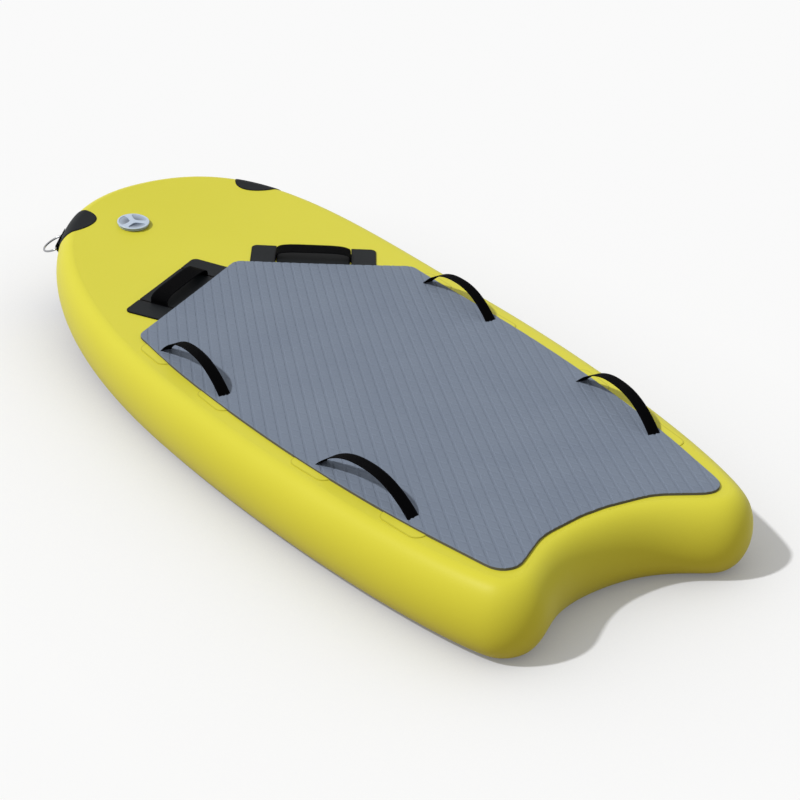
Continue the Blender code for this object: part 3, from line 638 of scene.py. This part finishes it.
deck = panel("hullDeck", deckZ, deckZ - hull["fabric"])
holeRadius, holeReach = valveSpot["hole"], valveSpot["holeReach"]
holeProfile = [(0.0, -holeReach), (holeRadius, -holeReach), (holeRadius, holeReach), (0.0, holeReach)]
carve(deck, movePoints(turned("holeCutter", holeProfile, valveSpot["holeSides"]), valvePlaced))
place(deck, "hull", "hull_pvc", "deck_panel", hullYellow)
place(panel("hullBottom", 0.0, hull["fabric"]), "hull", "hull_pvc", "bottom_panel", hullYellow)
place(railBand(), "hull", "hull_pvc", "rail_wall", hullYellow)
print("hull made")


pad = {
    "low": 0.0003, "thickness": 0.0055, "marginNotch": 0.006, "marginCorner": 0.014, "marginFront": 0.012,
    "cornerRun": 0.20, "frontFrom": -0.90, "frontRun": 1.12,
    "apexBack": 0.4844, "veeSlope": 0.634, "cornerRound": 0.014, "frontReach": 0.1826,
    "tailOut": 0.0154, "tailDrop": 0.0394, "tailRound": 0.0343, "tailReach": 0.1250, "tailFrom": -0.70,
    "sideReach": -0.7700, "notchRound": 0.1200, "notchSkip": 6, "thin": 4, "nearly": 0.001,
    "chamfer": 0.0007, "ease": 0.0095, "planSteps": 700, "outlineSteps": 1100,
    "slack": 0.03, "trimReach": 0.004, "trimMiddle": (0.0, -0.25), "edgeFacing": 0.55,
}
veeAngle = math.atan(pad["veeSlope"])
padApex = noseY - pad["apexBack"]
padTop = pad["low"] + pad["thickness"]


def padPlan():
    # the hull's outline drawn in by a margin that grows outboard and forward, with a vee at the front
    count = pad["planSteps"]
    whole = wholePlan(2 * count - 2)
    half = whole[:count]
    inboard = np.clip(half[:, 0] / pad["cornerRun"], 0, 1)
    ahead = np.clip((half[:, 1] - pad["frontFrom"]) / pad["frontRun"], 0, 1)
    margin = hull["railDepth"] + pad["marginNotch"]
    margin = margin + pad["marginCorner"] * inboard + pad["marginFront"] * ahead
    edge = half - outwardNormals(whole)[:count] * margin[:, None]
    x, y = edge.T
    corner = cornerCentre + [pad["tailOut"], -pad["tailDrop"]]
    side = edge[(x > corner[0]) & (y > pad["sideReach"]) & (y < pad["frontReach"])][::pad["thin"]]
    tail = edge[(y < pad["tailFrom"]) & (x < pad["tailReach"]) & (x > pad["nearly"])][::pad["thin"]]
    frontX = side[0, 0] - pad["nearly"]
    front = np.array([frontX, padApex - pad["veeSlope"] * frontX])
    joint, tail = tail[0], tail[pad["notchSkip"]:]
    half = np.vstack([front, side, corner, joint, tail])
    radii = [pad["cornerRound"]] + [0.0] * len(side)
    radii += [pad["tailRound"], pad["notchRound"]] + [0.0] * len(tail)
    corners = np.vstack([[0, padApex], half, [0.0, edge[-1, 1]], half[::-1] * [-1, 1]])
    outline = softCorners(corners, [pad["cornerRound"]] + radii + [0.0] + radii[::-1])
    return blurred(evenly(outline, pad["outlineSteps"], closed=True), pad["ease"])


def grooveLines(pitch, width):
    # where the rims and the foot of the walls of every groove lie
    edges = np.array([-width / 2, padLook["wall"] - width / 2, width / 2 - padLook["wall"], width / 2])
    return (np.arange(-padLook["count"], padLook["count"] + 1)[:, None] * pitch + edges).ravel()


def groove(distance, pitch, width, depth):
    # a flat-bottomed channel with sloping walls at every multiple of the pitch
    away = np.abs((distance + pitch / 2) % pitch - pitch / 2)
    return depth * np.clip((width / 2 - away) / padLook["wall"], 0, 1)


def nearOutline(points, outline, slack):
    # inside the outline pushed out by a slack, by counting crossings
    grown = outline + outwardNormals(outline) * slack
    x, y = points.T
    inside = np.zeros(len(points), bool)
    for (x0, y0), (x1, y1) in zip(grown, np.roll(grown, -1, 0)):
        hit = (y0 > y) != (y1 > y)
        inside ^= hit & (x < (x1 - x0) * (y - y0) / (y1 - y0 + 1e-15) + x0)
    return inside


def padSlab(outline):
    # a slanting grid whose lines are the grooves of both families, so every groove has its own edges
    c, s = pointing(padLook["heading"])
    pitch = padLook["pitch"]
    lines = [grooveLines(pitch, padLook[key]) for key in ("width", "crossWidth")]
    a, b = np.meshgrid(*lines, indexing="ij")
    x, y = (a + b) / (2 * c), (b - a) / (2 * s)
    deep = np.maximum(
        groove(a, pitch, padLook["width"], padLook["depth"]),
        groove(b, pitch, padLook["crossWidth"], padLook["crossDepth"]),
    )
    rows, columns = a.shape
    faces = gridFaces(rows, columns)
    middle = np.stack([x.ravel()[faces].mean(1), y.ravel()[faces].mean(1)], 1)
    kept = faces[nearOutline(middle, outline, pad["slack"])]
    count = rows * columns
    top = np.stack([x, y, deckZ + padTop - deep], -1).reshape(-1, 3)
    low = np.stack([x, y, np.full_like(x, deckZ + pad["low"])], -1).reshape(-1, 3)
    edges = np.concatenate([kept[:, [k, (k + 1) % 4]] for k in range(4)])
    key = np.sort(edges, 1)
    _, back, times = np.unique(key[:, 0] * count + key[:, 1], return_inverse=True, return_counts=True)
    rim = edges[times[back] == 1]
    sides = np.stack([rim[:, 1], rim[:, 0], rim[:, 0] + count, rim[:, 1] + count], 1)
    quads = np.vstack([kept, kept[:, ::-1] + count, sides])
    used, fresh = np.unique(quads, return_inverse=True)
    return makePiece("deckPad", np.vstack([top, low])[used], fresh.reshape(-1, 4), sharp=15)


def padBody(outline):
    # what the slab is trimmed to: the outline straight up, then drawn in at the top for a small chamfer
    inner = outline - outwardNormals(outline) * pad["chamfer"]
    middle = outline * 0 + pad["trimMiddle"]
    low, high = -pad["trimReach"], padTop + pad["trimReach"]
    rows = [(middle, low), (outline, low), (outline, padTop - pad["chamfer"])]
    rows += [(inner, padTop + 0.00002), (inner, high), (middle, high)]
    return stacked("padTrim", [(flat, deckZ + z) for flat, z in rows])


# webbing and patches are drawn flat over the deck, then lifted with the rocker

strap = {
    "width": 0.025, "thickness": 0.0016, "rise": 0.049, "tail": 0.022, "power": 2.3, "steps": 60,
    "bunch": 0.8, "footIn": 0.0050, "footOut": 0.0026, "footLift": 0.0008,
    "front": ((0.1041, 1.0418), (0.0985, 0.7950)), "rear": ((0.1560, 0.2780), (0.1245, 0.5250)),
    "anchorLength": 0.105, "anchorWidth": 0.080, "anchorThickness": 0.0010, "anchorRound": 0.020,
    "anchorBevel": 0.0006,
}
rimWidth, rimFade = 0.0014, 0.0026


def strapFeet(label, sign):
    # rear and fore foot, measured in from the side and from the nose or, at the rear, the tail
    if label == "front":
        feet = [(sideX - a, noseY - b) for a, b in strap["front"]]
    else:
        feet = [(sideX - a, b - noseY) for a, b in strap["rear"]]
    return [np.array([sign * x, y]) for x, y in feet]


def mirroredLine(foot, arch):
    # (along, height) from the tail of one end over the arch to the other's, its kinks softened
    half = np.vstack([foot, arch])
    return softened(np.vstack([half * [-1, 1], half[:-1][::-1]]))


def strapLine(halfSpan):
    # a sewn tail, a short rise through the pad, and an arch that drops as |along| to a power
    level = gap + strap["anchorThickness"] + gap + strap["thickness"] / 2
    share = np.linspace(1, 0, strap["steps"]) ** strap["bunch"]
    arch = np.stack([halfSpan * share, padTop + strap["rise"] * (1 - share ** strap["power"])], 1)
    foot = [(halfSpan + strap["tail"], level), (halfSpan + strap["footIn"], level)]
    foot.append((halfSpan + strap["footOut"], level + strap["footLift"]))
    return mirroredLine(foot, arch)


def ribbonSection(thickness, width):
    # (across, up) of a flat strap with rounded edges
    r = thickness / 2
    right = pointing(np.linspace(-quarter, quarter, 7)) * r + [width / 2 - r, 0]
    flat = np.linspace(-0.8, 0.8, 5)[:, None] * (width / 2 - r)
    top = np.hstack([flat[::-1], np.full_like(flat, r)])
    low = np.hstack([flat, np.full_like(flat, -r)])
    return np.vstack([right, top, -right, low])


def ribbon(name, middle, direction, line, web, slack=(0, 0)):
    # a flat strap's section carried along its line, square to it
    section = ribbonSection(web["thickness"] + slack[0], web["width"] + slack[1])
    normal = turnedLeft(unit(np.gradient(line, axis=0)))
    spot = line[:, None] + normal[:, None] * section[None, :, 1:]
    flat = middle + direction * spot[..., :1] + turnedLeft(direction) * section[None, :, :1]
    uv = np.dstack(np.broadcast_arrays(section[None, :, 0], lengthsAlong(line)[:, None]))
    return tube(name, np.dstack([flat, deckZ + spot[..., 1]]), wrap=False, uv=uv)


def plate(name, outline, high, bevel, rings):
    # a thin patch on the deck with a rounded upper edge; the mark "rim" is 1 on the edge and fades inwards
    centre = outline.mean(0)
    normal = outwardNormals(outline)
    rows = [(centre + (outline - centre) * s, gap, 1.0) for s in (0, 0.35, 0.7, 1)]
    for turn in np.linspace(0, quarter, 4):
        drawn = outline - normal * bevel * (1 - math.cos(turn))
        rows.append((drawn, high - bevel * (1 - math.sin(turn)), 1.0))
    inner = outline - normal * (bevel + rimFade)
    rows += [(outline - normal * (bevel + rimWidth), high, 1.0), (inner, high, 0.0)]
    rows += [(centre + (inner - centre) * s, high, 0.0) for s in np.linspace(1, 0, rings + 1)[1:]]
    marks = np.repeat([mark for _, _, mark in rows], len(outline))
    return stacked(name, [(flat, deckZ + z) for flat, z, _ in rows], marks={"rim": marks}, sharp=50)


def rectangle(centre, direction, halfLength, halfWidth, radius):
    # an oblong along a direction, its four corners rounded
    signs = np.array([(1, 1), (1, -1), (-1, -1), (-1, 1)])
    axes = np.array([direction * halfLength, turnedLeft(direction) * halfWidth])
    return softCorners(centre + signs @ axes, [radius] * 4)


def pocket(centre, direction, halfLength, halfWidth, radius, high):
    # the room under the pad for a patch whose top is this high
    shape = rectangle(centre, direction, halfLength + pocketSlack, halfWidth + pocketSlack, radius)
    return prism("pocket", shape, deckZ - pocketDepth, deckZ + high + gap)


padCutters = []
sides = (("Left", "left", -1), ("Right", "right", 1))
for label in ("front", "rear"):
    for title, side, sign in sides:
        rear, fore = strapFeet(label, sign)
        direction = unit(fore - rear)
        middle = (rear + fore) / 2
        line = strapLine(np.linalg.norm(fore - rear) / 2)
        web = ribbon(f"sideStrap{label.title()}{title}", middle, direction, line, strap)
        lay(web, "webbing", f"side_strap_{label}_{side}", strapWeb)
        padCutters.append(ribbon("slot", middle, direction, line, strap, slotSlack))
        size = (strap["anchorLength"] / 2, strap["anchorWidth"] / 2, strap["anchorRound"])
        high = gap + strap["anchorThickness"]
        for end, foot in (("Aft", rear), ("Fore", fore)):
            shape = rectangle(foot, direction, *size)
            name = f"strapAnchor{label.title()}{end}{title}"
            anchor = plate(name, shape, high, strap["anchorBevel"], rings=3)
            lay(anchor, "hull_pvc", f"strap_anchor_{label}_{end.lower()}_{side}", hullYellow)
            padCutters.append(pocket(foot, direction, *size, high))
print("straps made")


handle = {
    "fromApex": 0.17931, "clear": 0.01777, "halfSpan": 0.0863, "rise": 0.0185, "footLift": 0.0035,
    "width": 0.042, "thickness": 0.0018, "power": 4.0, "tail": 0.110, "steps": 40,
    "bendIn": 0.0035, "bendOut": 0.0010, "bendLift": 0.0012,
    "patchHalf": 0.146, "patchLap": 0.01823, "patchLip": 0.0305, "patchThickness": 0.0030,
    "patchBevel": 0.0008, "patchSteps": 200, "round": 0.014, "crisp": 0.001,
    "slotInside": 0.0013, "slotOutside": 0.0017, "pocketHalf": 0.1000, "pocketRound": 0.004,
}
frontOut = padApex * math.cos(veeAngle)
handleAlong = handle["fromApex"] - padApex * math.sin(veeAngle)
handleOut = frontOut + handle["clear"] + handle["width"] / 2
patchBack = frontOut - handle["patchLap"]
patchFront = handleOut + handle["width"] / 2 + handle["patchLip"]
patchHigh = gap + handle["patchThickness"]


def handleLine():
    # a box-like arch, a superellipse of power 4, between tails that lie on the deck
    level = gap + handle["thickness"] / 2
    span = handle["halfSpan"]
    arch = pointing(np.linspace(0, quarter, handle["steps"])).clip(0) ** (2 / handle["power"])
    arch = arch * [span, handle["rise"]] + [0, level + handle["footLift"]]
    arch[-1, 0] = 0
    foot = [(handle["tail"], level), (span + handle["bendIn"], level)]
    foot.append((span + handle["bendOut"], level + handle["bendLift"]))
    return mirroredLine(foot, arch)


def handlePlate(name, along, out, low, high, radii):
    # a patch from low to high along the handle, each corner rounded by its own radius
    edges = ((low, patchFront), (high, patchFront), (high, patchBack), (low, patchBack))
    corners = [along * (handleAlong + a) + out * b for a, b in edges]
    outline = evenly(softCorners(np.array(corners), radii), handle["patchSteps"], closed=True)
    return plate(name, outline, patchHigh, handle["patchBevel"], rings=8)


for title, side, sign in sides:
    along = np.array([sign * math.cos(veeAngle), -math.sin(veeAngle)])
    out = np.array([sign * math.sin(veeAngle), math.cos(veeAngle)])
    middle = along * handleAlong + out * handleOut
    loop = ribbon(f"bowHandle{title}", middle, along, handleLine(), handle)
    lay(loop, "webbing", f"bow_handle_{side}", handleWeb)
    low, high = handle["halfSpan"] - handle["slotInside"], handle["halfSpan"] + handle["slotOutside"]
    end, r, crisp = handle["patchHalf"], handle["round"], handle["crisp"]
    ends = (("Outer", high, end, [crisp, r, r, crisp]), ("Inner", -end, -high, [r, crisp, crisp, r]))
    for kind, first, last, radii in ends:
        patch = handlePlate(f"handlePatch{kind}{title}", along, out, first, last, radii)
        carve(patch, ribbon("channel", middle, along, handleLine(), handle, slotSlack), sharp=50)
        lay(patch, "patch_pvc", f"handle_patch_{kind.lower()}_{side}", patchBlack)
    knuckle = handlePlate(f"knucklePad{title}", along, out, -low, low, [crisp] * 4)
    lay(knuckle, "patch_pvc", f"knuckle_pad_{side}", patchBlack)
    half = handle["pocketHalf"]
    centre = along * handleAlong + out * (patchBack + half)
    padCutters.append(pocket(centre, along, end, half, handle["pocketRound"], patchHigh))
print("handles made")


padOutline = padPlan()
deckPad = padSlab(padOutline)
carve(deckPad, padBody(padOutline), "INTERSECT", sharp=15)
carve(deckPad, joined("padCutters", padCutters), sharp=15)
lay(deckPad, "eva_foam", "deck_pad", foamTop, foamEdgeShade)
# faces that face sideways get the copy of the foam with painted shade, darker and browner
facing = np.zeros(len(deckPad.data.polygons) * 3)
deckPad.data.polygons.foreach_get("normal", facing)
edgeFaces = np.abs(facing.reshape(-1, 3)[:, 2]) < pad["edgeFacing"]
deckPad.data.polygons.foreach_set("material_index", edgeFaces.astype(np.int32))
print("pad made, faces:", len(deckPad.data.polygons))


tow = {
    "in": 0.1460, "offset": 0.0004, "thickness": 0.0012, "lobeRadius": 0.064, "lobeReach": 0.036,
    "waistHalf": 0.033, "lean": 0.30, "planSteps": 1600, "lobeSteps": 11, "wrapSteps": 121, "grid": (90, 41),
    "edgeShare": 12, "endRun": 0.004, "edgeHeight": 0.45, "sunk": 0.2, "rimWide": 2.2, "rimRun": 0.0018,
    "facetFore": (0.25701, 0.84688), "facetAft": (0.29898, 0.79277), "bulge": 0.00165, "bulgeHalf": 0.034,
    "ringAngle": math.radians(18), "ringShift": 0.006, "wire": 0.0025, "halfWidth": 0.0345, "depth": 0.042,
    "corner": 0.005, "droop": math.radians(22), "ringOffset": 0.0065, "ringSteps": 160, "wireSides": 20,
    "tabSewn": (0.0262, 0.020, 0.0125), "tabRise": 0.0055, "tabOver": 0.0025, "tabEase": 0.0012,
}
tab = {"width": 0.050, "thickness": 0.0016}
bow = evenly(halfPlan(), tow["planSteps"])
bowRun = lengthsAlong(bow)
towMiddle = bowRun[np.argmax(bow[:, 0] >= sideX - tow["in"])]


def wrapLine():
    # (out, up) down the rail from the deck lobe's tip to the bottom lobe's, its normals and lengths
    count, start = tow["lobeSteps"], -hull["railDepth"]
    angle = np.linspace(quarter, -quarter, tow["wrapSteps"])
    lobe = np.linspace(start - tow["lobeReach"], start, count + 1)[:-1]
    over = np.stack([lobe, np.full(count, deckZ)], 1)
    line = np.vstack([over, railSection(angle), over[::-1] * [1, 0]])
    facing = np.vstack([np.tile([0, 1.0], (count, 1)), railNormal(angle), np.tile([0, -1.0], (count, 1))])
    return line, facing, lengthsAlong(line)


def towHalfWidth(v, total):
    # round at each end, eased to the waist in the middle
    v = np.minimum(v, total - v)
    radius, waist = tow["lobeRadius"], tow["waistHalf"]
    lobe = np.sqrt(np.clip(radius ** 2 - (radius - v) ** 2, 0, None))
    share = np.clip((v - radius) / (total / 2 - radius), 0, 1)
    ease = (1 - np.cos(math.pi * share)) / 2
    return np.where(v < radius, lobe, radius + (waist - radius) * ease)


def alongRail(s):
    # point and outward normal on the plan's edge at a length s past the tow point, towards the tail
    run = towMiddle + s
    step = 0.002
    direction = unit(valuesAt(run + step, bowRun, bow) - valuesAt(run - step, bowRun, bow))
    return valuesAt(run, bowRun, bow), turnedLeft(direction)


def towPatch(title, side, sign):
    # the patch's flat shape laid on the hull: v runs down the section, w along the rail
    line, facing, run = wrapLine()
    total = run[-1]
    v = total * (1 - np.cos(np.linspace(0, math.pi, tow["grid"][0]))) / 2
    t = np.linspace(-1, 1, tow["grid"][1])[None]
    out, up = (column[:, None] for column in valuesAt(v, run, line).T)
    normal = unit(valuesAt(v, run, facing))
    half = towHalfWidth(v, total)[:, None]
    spot, outward = alongRail(t * half + tow["lean"] * out)
    toEnd, toSide = np.minimum(v, total - v)[:, None], 1 - np.abs(t)
    crown = np.minimum(np.clip(toSide * tow["edgeShare"], 0, 1), np.clip(toEnd / tow["endRun"], 0, 1))
    share = tow["edgeHeight"] + (1 - tow["edgeHeight"]) * np.sqrt(crown)
    grids = []
    for lift in (tow["offset"] + tow["thickness"] * share, np.full_like(share, tow["offset"] * tow["sunk"])):
        flat = spot + outward * (out + normal[:, :1] * lift)[..., None]
        points = lifted(np.dstack([flat, up + normal[:, 1:] * lift]))
        points[..., 0] *= sign
        grids.append(points)
    rim = np.clip(tow["rimWide"] - np.minimum(toSide * half, toEnd) / tow["rimRun"], 0, 1).ravel()
    piece = shell(f"towPatch{title}", *grids, marks={"rim": np.concatenate([rim, rim])}, sharp=50)
    place(piece, "hull", "patch_pvc", f"tow_patch_{side}", patchBlack)


def towPlaced(points, sign):
    # from the tow facet's own axes, as the solids have them: x along the rail, y out of the hull, z up
    fore, aft = (np.array([sign * x, y, rocker(y)]) for x, y in (tow["facetFore"], tow["facetAft"]))
    along = unit(aft - fore) * sign
    out = unit(np.array([-along[1], along[0], 0.0]))
    middle = (fore + aft) / 2 + [0, 0, deckZ / 2] + along * sign * tow["ringShift"]
    return points @ np.stack([along, out, np.cross(along, out)]) + middle


def towTab(title, side, sign):
    # webbing over the ring's bar: hugging the round hull at its sewn ends, straight over the bar
    rest = tow["offset"] + tow["thickness"] + gap + tab["thickness"] / 2
    over = tow["ringOffset"] + tow["wire"] + gap + tab["thickness"] / 2
    half = [(-s, rest) for s in tow["tabSewn"]]
    half += [(-tow["tabRise"], over - tow["tabEase"]), (-tow["tabOver"], over)]
    spots = softened(np.array(half + [(-s, o) for s, o in half[::-1]]), 3)
    share = np.clip((spots[:, 1] - rest) / (over - rest), 0, 1)
    section = ribbonSection(tab["thickness"], tab["width"])
    # the round hull stands out past the straight facet, most in its middle
    offMiddle = (section[:, 0] * sign + tow["ringShift"]) / tow["bulgeHalf"]
    bulge = tow["bulge"] * np.clip(1 - offMiddle ** 2, 0, None)[None] * (1 - share[:, None])
    line = railSection(tow["ringAngle"] + spots[:, 0] / (deckZ / 2), spots[:, 1])
    normal = -turnedLeft(unit(np.gradient(line, axis=0)))
    spot = line[:, None] + normal[:, None] * (section[None, :, 1] + bulge)[..., None]
    x = np.broadcast_to(section[:, 0], spot.shape[:2])
    points = np.dstack([x, spot[..., 0], spot[..., 1] - deckZ / 2])
    uv = np.dstack(np.broadcast_arrays(section[None, :, 0], lengthsAlong(line)[:, None]))
    piece = tube(f"towTab{title}", towPlaced(points, sign), wrap=False, uv=uv)
    place(piece, "hull", "webbing", f"tow_tab_{side}", tabWeb)


def towRing(title, side, sign):
    # a wire swept round the D: a straight bar with small corners and a half ellipse
    w, r, depth = tow["halfWidth"], tow["corner"], tow["depth"]
    right = pointing(np.linspace(-quarter, 0, 10)) * r + [w - r, r]
    top = pointing(np.linspace(0, math.pi, 90)[1:-1]) * [w, depth - r] + [0, r]
    bar = np.stack([np.linspace(-w + r, w - r, 24)[1:-1], np.zeros(22)], 1)
    path = evenly(np.vstack([right, top, right[::-1] * [-1, 1], bar]), tow["ringSteps"], closed=True)
    around = pointing(np.linspace(0, 2 * math.pi, tow["wireSides"], endpoint=False)) * tow["wire"]
    flat = path[:, None] + outwardNormals(path)[:, None] * around[None, :, :1]
    lift = around[None, :, 1]
    c, s = pointing(tow["droop"])
    out = flat[..., 1] * c + lift * s
    up = lift * c - flat[..., 1] * s
    centre = railSection(tow["ringAngle"], tow["ringOffset"])
    points = np.dstack([flat[..., 0], centre[0] + out, centre[1] - deckZ / 2 + up])
    ring = tube(f"towRing{title}", towPlaced(points, sign))
    place(ring, f"{side}_ring", "stainless", f"tow_ring_{side}", ringSteel)


for title, side, sign in sides:
    towPatch(title, side, sign)
    towTab(title, side, sign)
    towRing(title, side, sign)
print("tow points made")


cap = {
    "radius": 0.0380, "low": 0.0043, "top": 0.0095, "lip": 0.0024, "draft": 0.0026, "fillet": 0.0014,
    "rim": 0.0042, "recess": 0.0046, "shallow": 0.0012, "skin": 0.0010, "segments": 144,
    "recessIn": 0.0060, "recessHalf": 47.0, "recessEase": 0.0058, "recessTurn": 27, "recessSteps": 150,
    "wallIn": 0.0009, "wallLift": 0.0003, "clear": 0.003, "flare": 0.0002,
    "plugOuter": 0.0168, "plugInner": 0.0135, "plugLow": -0.0027,
    "lugReach": 0.0188, "lugHalf": 14.0, "lugHeight": 0.0022, "lugRoot": 0.001,
    "sealInner": 0.0220, "sealOuter": 0.0250, "sealTop": 0.0057,
    "shadeFrom": 0.0004, "shadeShare": 0.6, "shadeRim": 0.001, "shadeLip": 0.8,
}


def capFloor(points):
    # a finger recess is deepest next to the hub and rises towards the rim
    share = (np.hypot(*points.T) - cap["recessIn"]) / (cap["radius"] - cap["rim"] - cap["recessIn"])
    depth = cap["recess"] + (cap["shallow"] - cap["recess"]) * np.clip(share, 0, 1)
    return cap["top"] - depth


def capRecess(middle):
    # the cutter of one finger recess: scooped floor, short wall, then flared above the cap
    top = cap["top"]
    arc = pointing(middle + np.radians(np.linspace(-1, 1, 25) * cap["recessHalf"]))
    corners = np.vstack([(cap["radius"] - cap["rim"]) * arc, cap["recessIn"] * pointing(middle)])
    outline = blurred(evenly(corners, cap["recessSteps"], closed=True), cap["recessEase"])
    inner = outline - outwardNormals(outline) * cap["wallIn"]
    centre = outline.mean(0)
    drawn = [centre + (inner - centre) * s for s in np.linspace(0, 1, 8)]
    rows = [(flat, capFloor(flat)) for flat in drawn]
    rows.append((inner + (outline - inner) * 0.8, capFloor(inner) + cap["wallLift"]))
    flare = outline + (outline - inner) * 0.5
    rows += [(outline, top - cap["wallLift"]), (flare, top + cap["flare"])]
    rows += [(flare, top + cap["clear"]), (centre + outline * 0, top + cap["clear"])]
    return stacked("recess", rows)


def capBody():
    # the cap's profile turned, with a rounded rim, then three finger recesses cut and two lugs added
    low, top, radius, fillet = cap["low"], cap["top"], cap["radius"], cap["fillet"]
    ceiling = top - cap["recess"] - cap["skin"]
    sealIn, sealOut, sealHigh = cap["sealInner"] - gap, cap["sealOuter"] + gap, cap["sealTop"] + gap
    profile = [
        (0.0, ceiling), (cap["plugInner"], ceiling), (cap["plugInner"], cap["plugLow"]),
        (cap["plugOuter"], cap["plugLow"]), (cap["plugOuter"], low), (sealIn, low), (sealIn, sealHigh),
        (sealOut, sealHigh), (sealOut, low), (radius - cap["draft"], low), (radius, top - cap["lip"]),
    ]
    profile += list(pointing(np.linspace(0, quarter, 7)) * fillet + [radius - fillet, top - fillet])
    profile += [(radius * 0.6, top), (radius * 0.3, top), (0.0, top)]
    body = turned("valveCap", profile, cap["segments"], sharp=30)
    for i in range(3):
        carve(body, capRecess(math.radians(cap["recessTurn"] + 120 * i)), sharp=30)
    for i in range(2):
        arc = quarter + math.pi * i + np.radians(np.linspace(-cap["lugHalf"], cap["lugHalf"], 9))
        ring = pointing(arc)
        outline = np.vstack([ring * cap["lugReach"], ring[::-1] * (cap["plugOuter"] - cap["lugRoot"])])
        lug = prism("lug", outline, cap["plugLow"], cap["plugLow"] + cap["lugHeight"])
        carve(body, lug, "UNION", sharp=30)
    x, y, z = np.array([vertex.co for vertex in body.data.vertices]).T
    # the mark "sunk" is painted shade: it grows with depth in the finger recesses and is full on the side
    # below the lip
    inside = np.hypot(x, y) < radius - cap["rim"] + cap["shadeRim"]
    sunk = np.clip((top - cap["shadeFrom"] - z) / (cap["recess"] * cap["shadeShare"]), 0, 1) * inside
    sunk += ~inside & (z < top - cap["lip"] * cap["shadeLip"])
    body.data.attributes.new("sunk", "FLOAT", "POINT").data.foreach_set("value", sunk.astype(np.float32))
    return movePoints(body, valvePlaced)


place(capBody(), "cap", "valve_plastic", "valve_cap", capPlastic)
print("valve cap made")


spring = {
    "radius": 0.0044, "wire": 0.0005, "turns": 5, "turnSteps": 40, "wireSides": 12,
    "seat": -0.0180, "button": -0.0050, "press": 0.0060,
}


def valveSpring():
    # a helix of round wire that stands on the valve's seat
    seat, wire, turns = spring["seat"], spring["wire"], spring["turns"]
    low, high = seat + gap + wire, spring["button"] - gap - wire
    turn = np.linspace(0, 2 * math.pi * turns, turns * spring["turnSteps"] + 1)[:, None]
    around = np.linspace(0, 2 * math.pi, spring["wireSides"], endpoint=False)[None]
    r = spring["radius"] + wire * np.cos(around)
    height = np.linspace(low, high, len(turn))[:, None] + wire * np.sin(around)
    coil = tube("valveSpring", np.dstack([r * np.cos(turn), r * np.sin(turn), height]), wrap=False)
    place(movePoints(coil, valvePlaced), "hull", "stainless", "valve_spring", springSteel)
    keep = 1 - spring["press"] / (high + wire - seat)
    tuple(valvePlaced([0.0, 0.0, seat]))
    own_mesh(coil)


valveSpring()
keptLooks = {
    bodyPlastic: ("valve_body", "valve_nut", "valve_stem"),
    sealRubber: ("valve_gasket", "stem_seal", "cap_seal"),
}
for material, names in keptLooks.items():
    for name in names:
        paint(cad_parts[name], material)
print("valve made")


studio = {
    "floor": 0.815, "floorShadeNearSled": (0.365, 0.38, 0.455), "glow": 0.14, "bounce": (0.34, 0.26, 0.18),
    "floorHalf": 12.0, "floorDrop": 0.0005, "nearReach": 0.5, "nearSamples": 8,
    "world": 0.45, "sun": 2.21, "sunAngle": 3.0, "sunFrom": (-0.767, 0.221, 1.0),
    "camera": (-1.5036, -2.5038, 1.5051), "target": (0.0737, -0.1138, 0.0), "lens": 69.09,
    "sensor": 36.0, "shiftY": 0.0225,
}


def makeFloor():
    # shown at one level, with painted shade near the sled that is darker and bluer, and warm in the light
    # that it throws back
    mesh = bpy.data.meshes.new("floor")
    r = studio["floorHalf"]
    mesh.from_pydata([(-r, -r, 0), (r, -r, 0), (r, r, 0), (-r, r, 0)], [], [(0, 1, 2, 3)])
    floor = added("floor", mesh)
    floor.location.z = -studio["floorDrop"]
    look = Look("floor paint", 0.9, Specular_IOR_Level=0.0, Emission_Strength=1.0)
    shown = look.ray("Is Camera Ray") + look.ray("Is Glossy Ray") + look.ray("Is Transmission Ray")
    shown = look.clamp(shown)
    settings, inputs = {"samples": studio["nearSamples"]}, {"Distance": studio["nearReach"]}
    # painted shade: the floor is drawn darker and bluer to the camera where the sled hides the sky
    openSky = look.node("ShaderNodeAmbientOcclusion", settings, inputs, output="AO")
    seen = look.blend(openSky, studio["floorShadeNearSled"], (studio["floor"],) * 3)
    look.link("Emission Color", look.blend(shown, (0, 0, 0), (studio["glow"],) * 3))
    look.link("Base Color", look.blend(shown, studio["bounce"], seen))
    paint(floor, look.material)


def makeLights():
    # a soft sky that is plain white to the camera and in reflections, and one sun
    world = bpy.data.worlds.new("studio")
    bpy.context.scene.world = world
    white = (1, 1, 1, 1)
    sky = Graph(world, "Background", Color=white, Strength=studio["world"])
    lit = Wire(sky, sky.shader.outputs[0])
    plain = sky.node("ShaderNodeBackground", inputs={"Color": white, "Strength": 1.0})
    rays = {0: sky.ray("Is Camera Ray"), 1: sky.ray("Is Glossy Ray")}
    seen = sky.node("ShaderNodeMath", {"operation": "MAXIMUM"}, rays)
    mixed = sky.node("ShaderNodeMixShader", inputs={0: seen, 1: lit, 2: plain})
    sky.tree.links.new(mixed.socket, sky.tree.nodes["World Output"].inputs[0])
    lamp = bpy.data.lights.new("key", "SUN")
    lamp.energy = studio["sun"]
    lamp.angle = math.radians(studio["sunAngle"])
    added("key", lamp).rotation_euler = Vector(studio["sunFrom"]).to_track_quat("Z", "Y").to_euler()


def makeCamera():
    # the photograph's view: a long lens above the port quarter
    data = bpy.data.cameras.new("photograph")
    data.lens, data.sensor_width, data.shift_y = studio["lens"], studio["sensor"], studio["shiftY"]
    camera = added("photograph", data)
    camera.location = studio["camera"]
    away = Vector(studio["target"]) - Vector(studio["camera"])
    camera.rotation_euler = away.to_track_quat("-Z", "Y").to_euler()
    bpy.context.scene.camera = camera


makeFloor()
makeLights()
makeCamera()
bpy.context.scene.view_settings.view_transform = "Standard"
print("studio made")
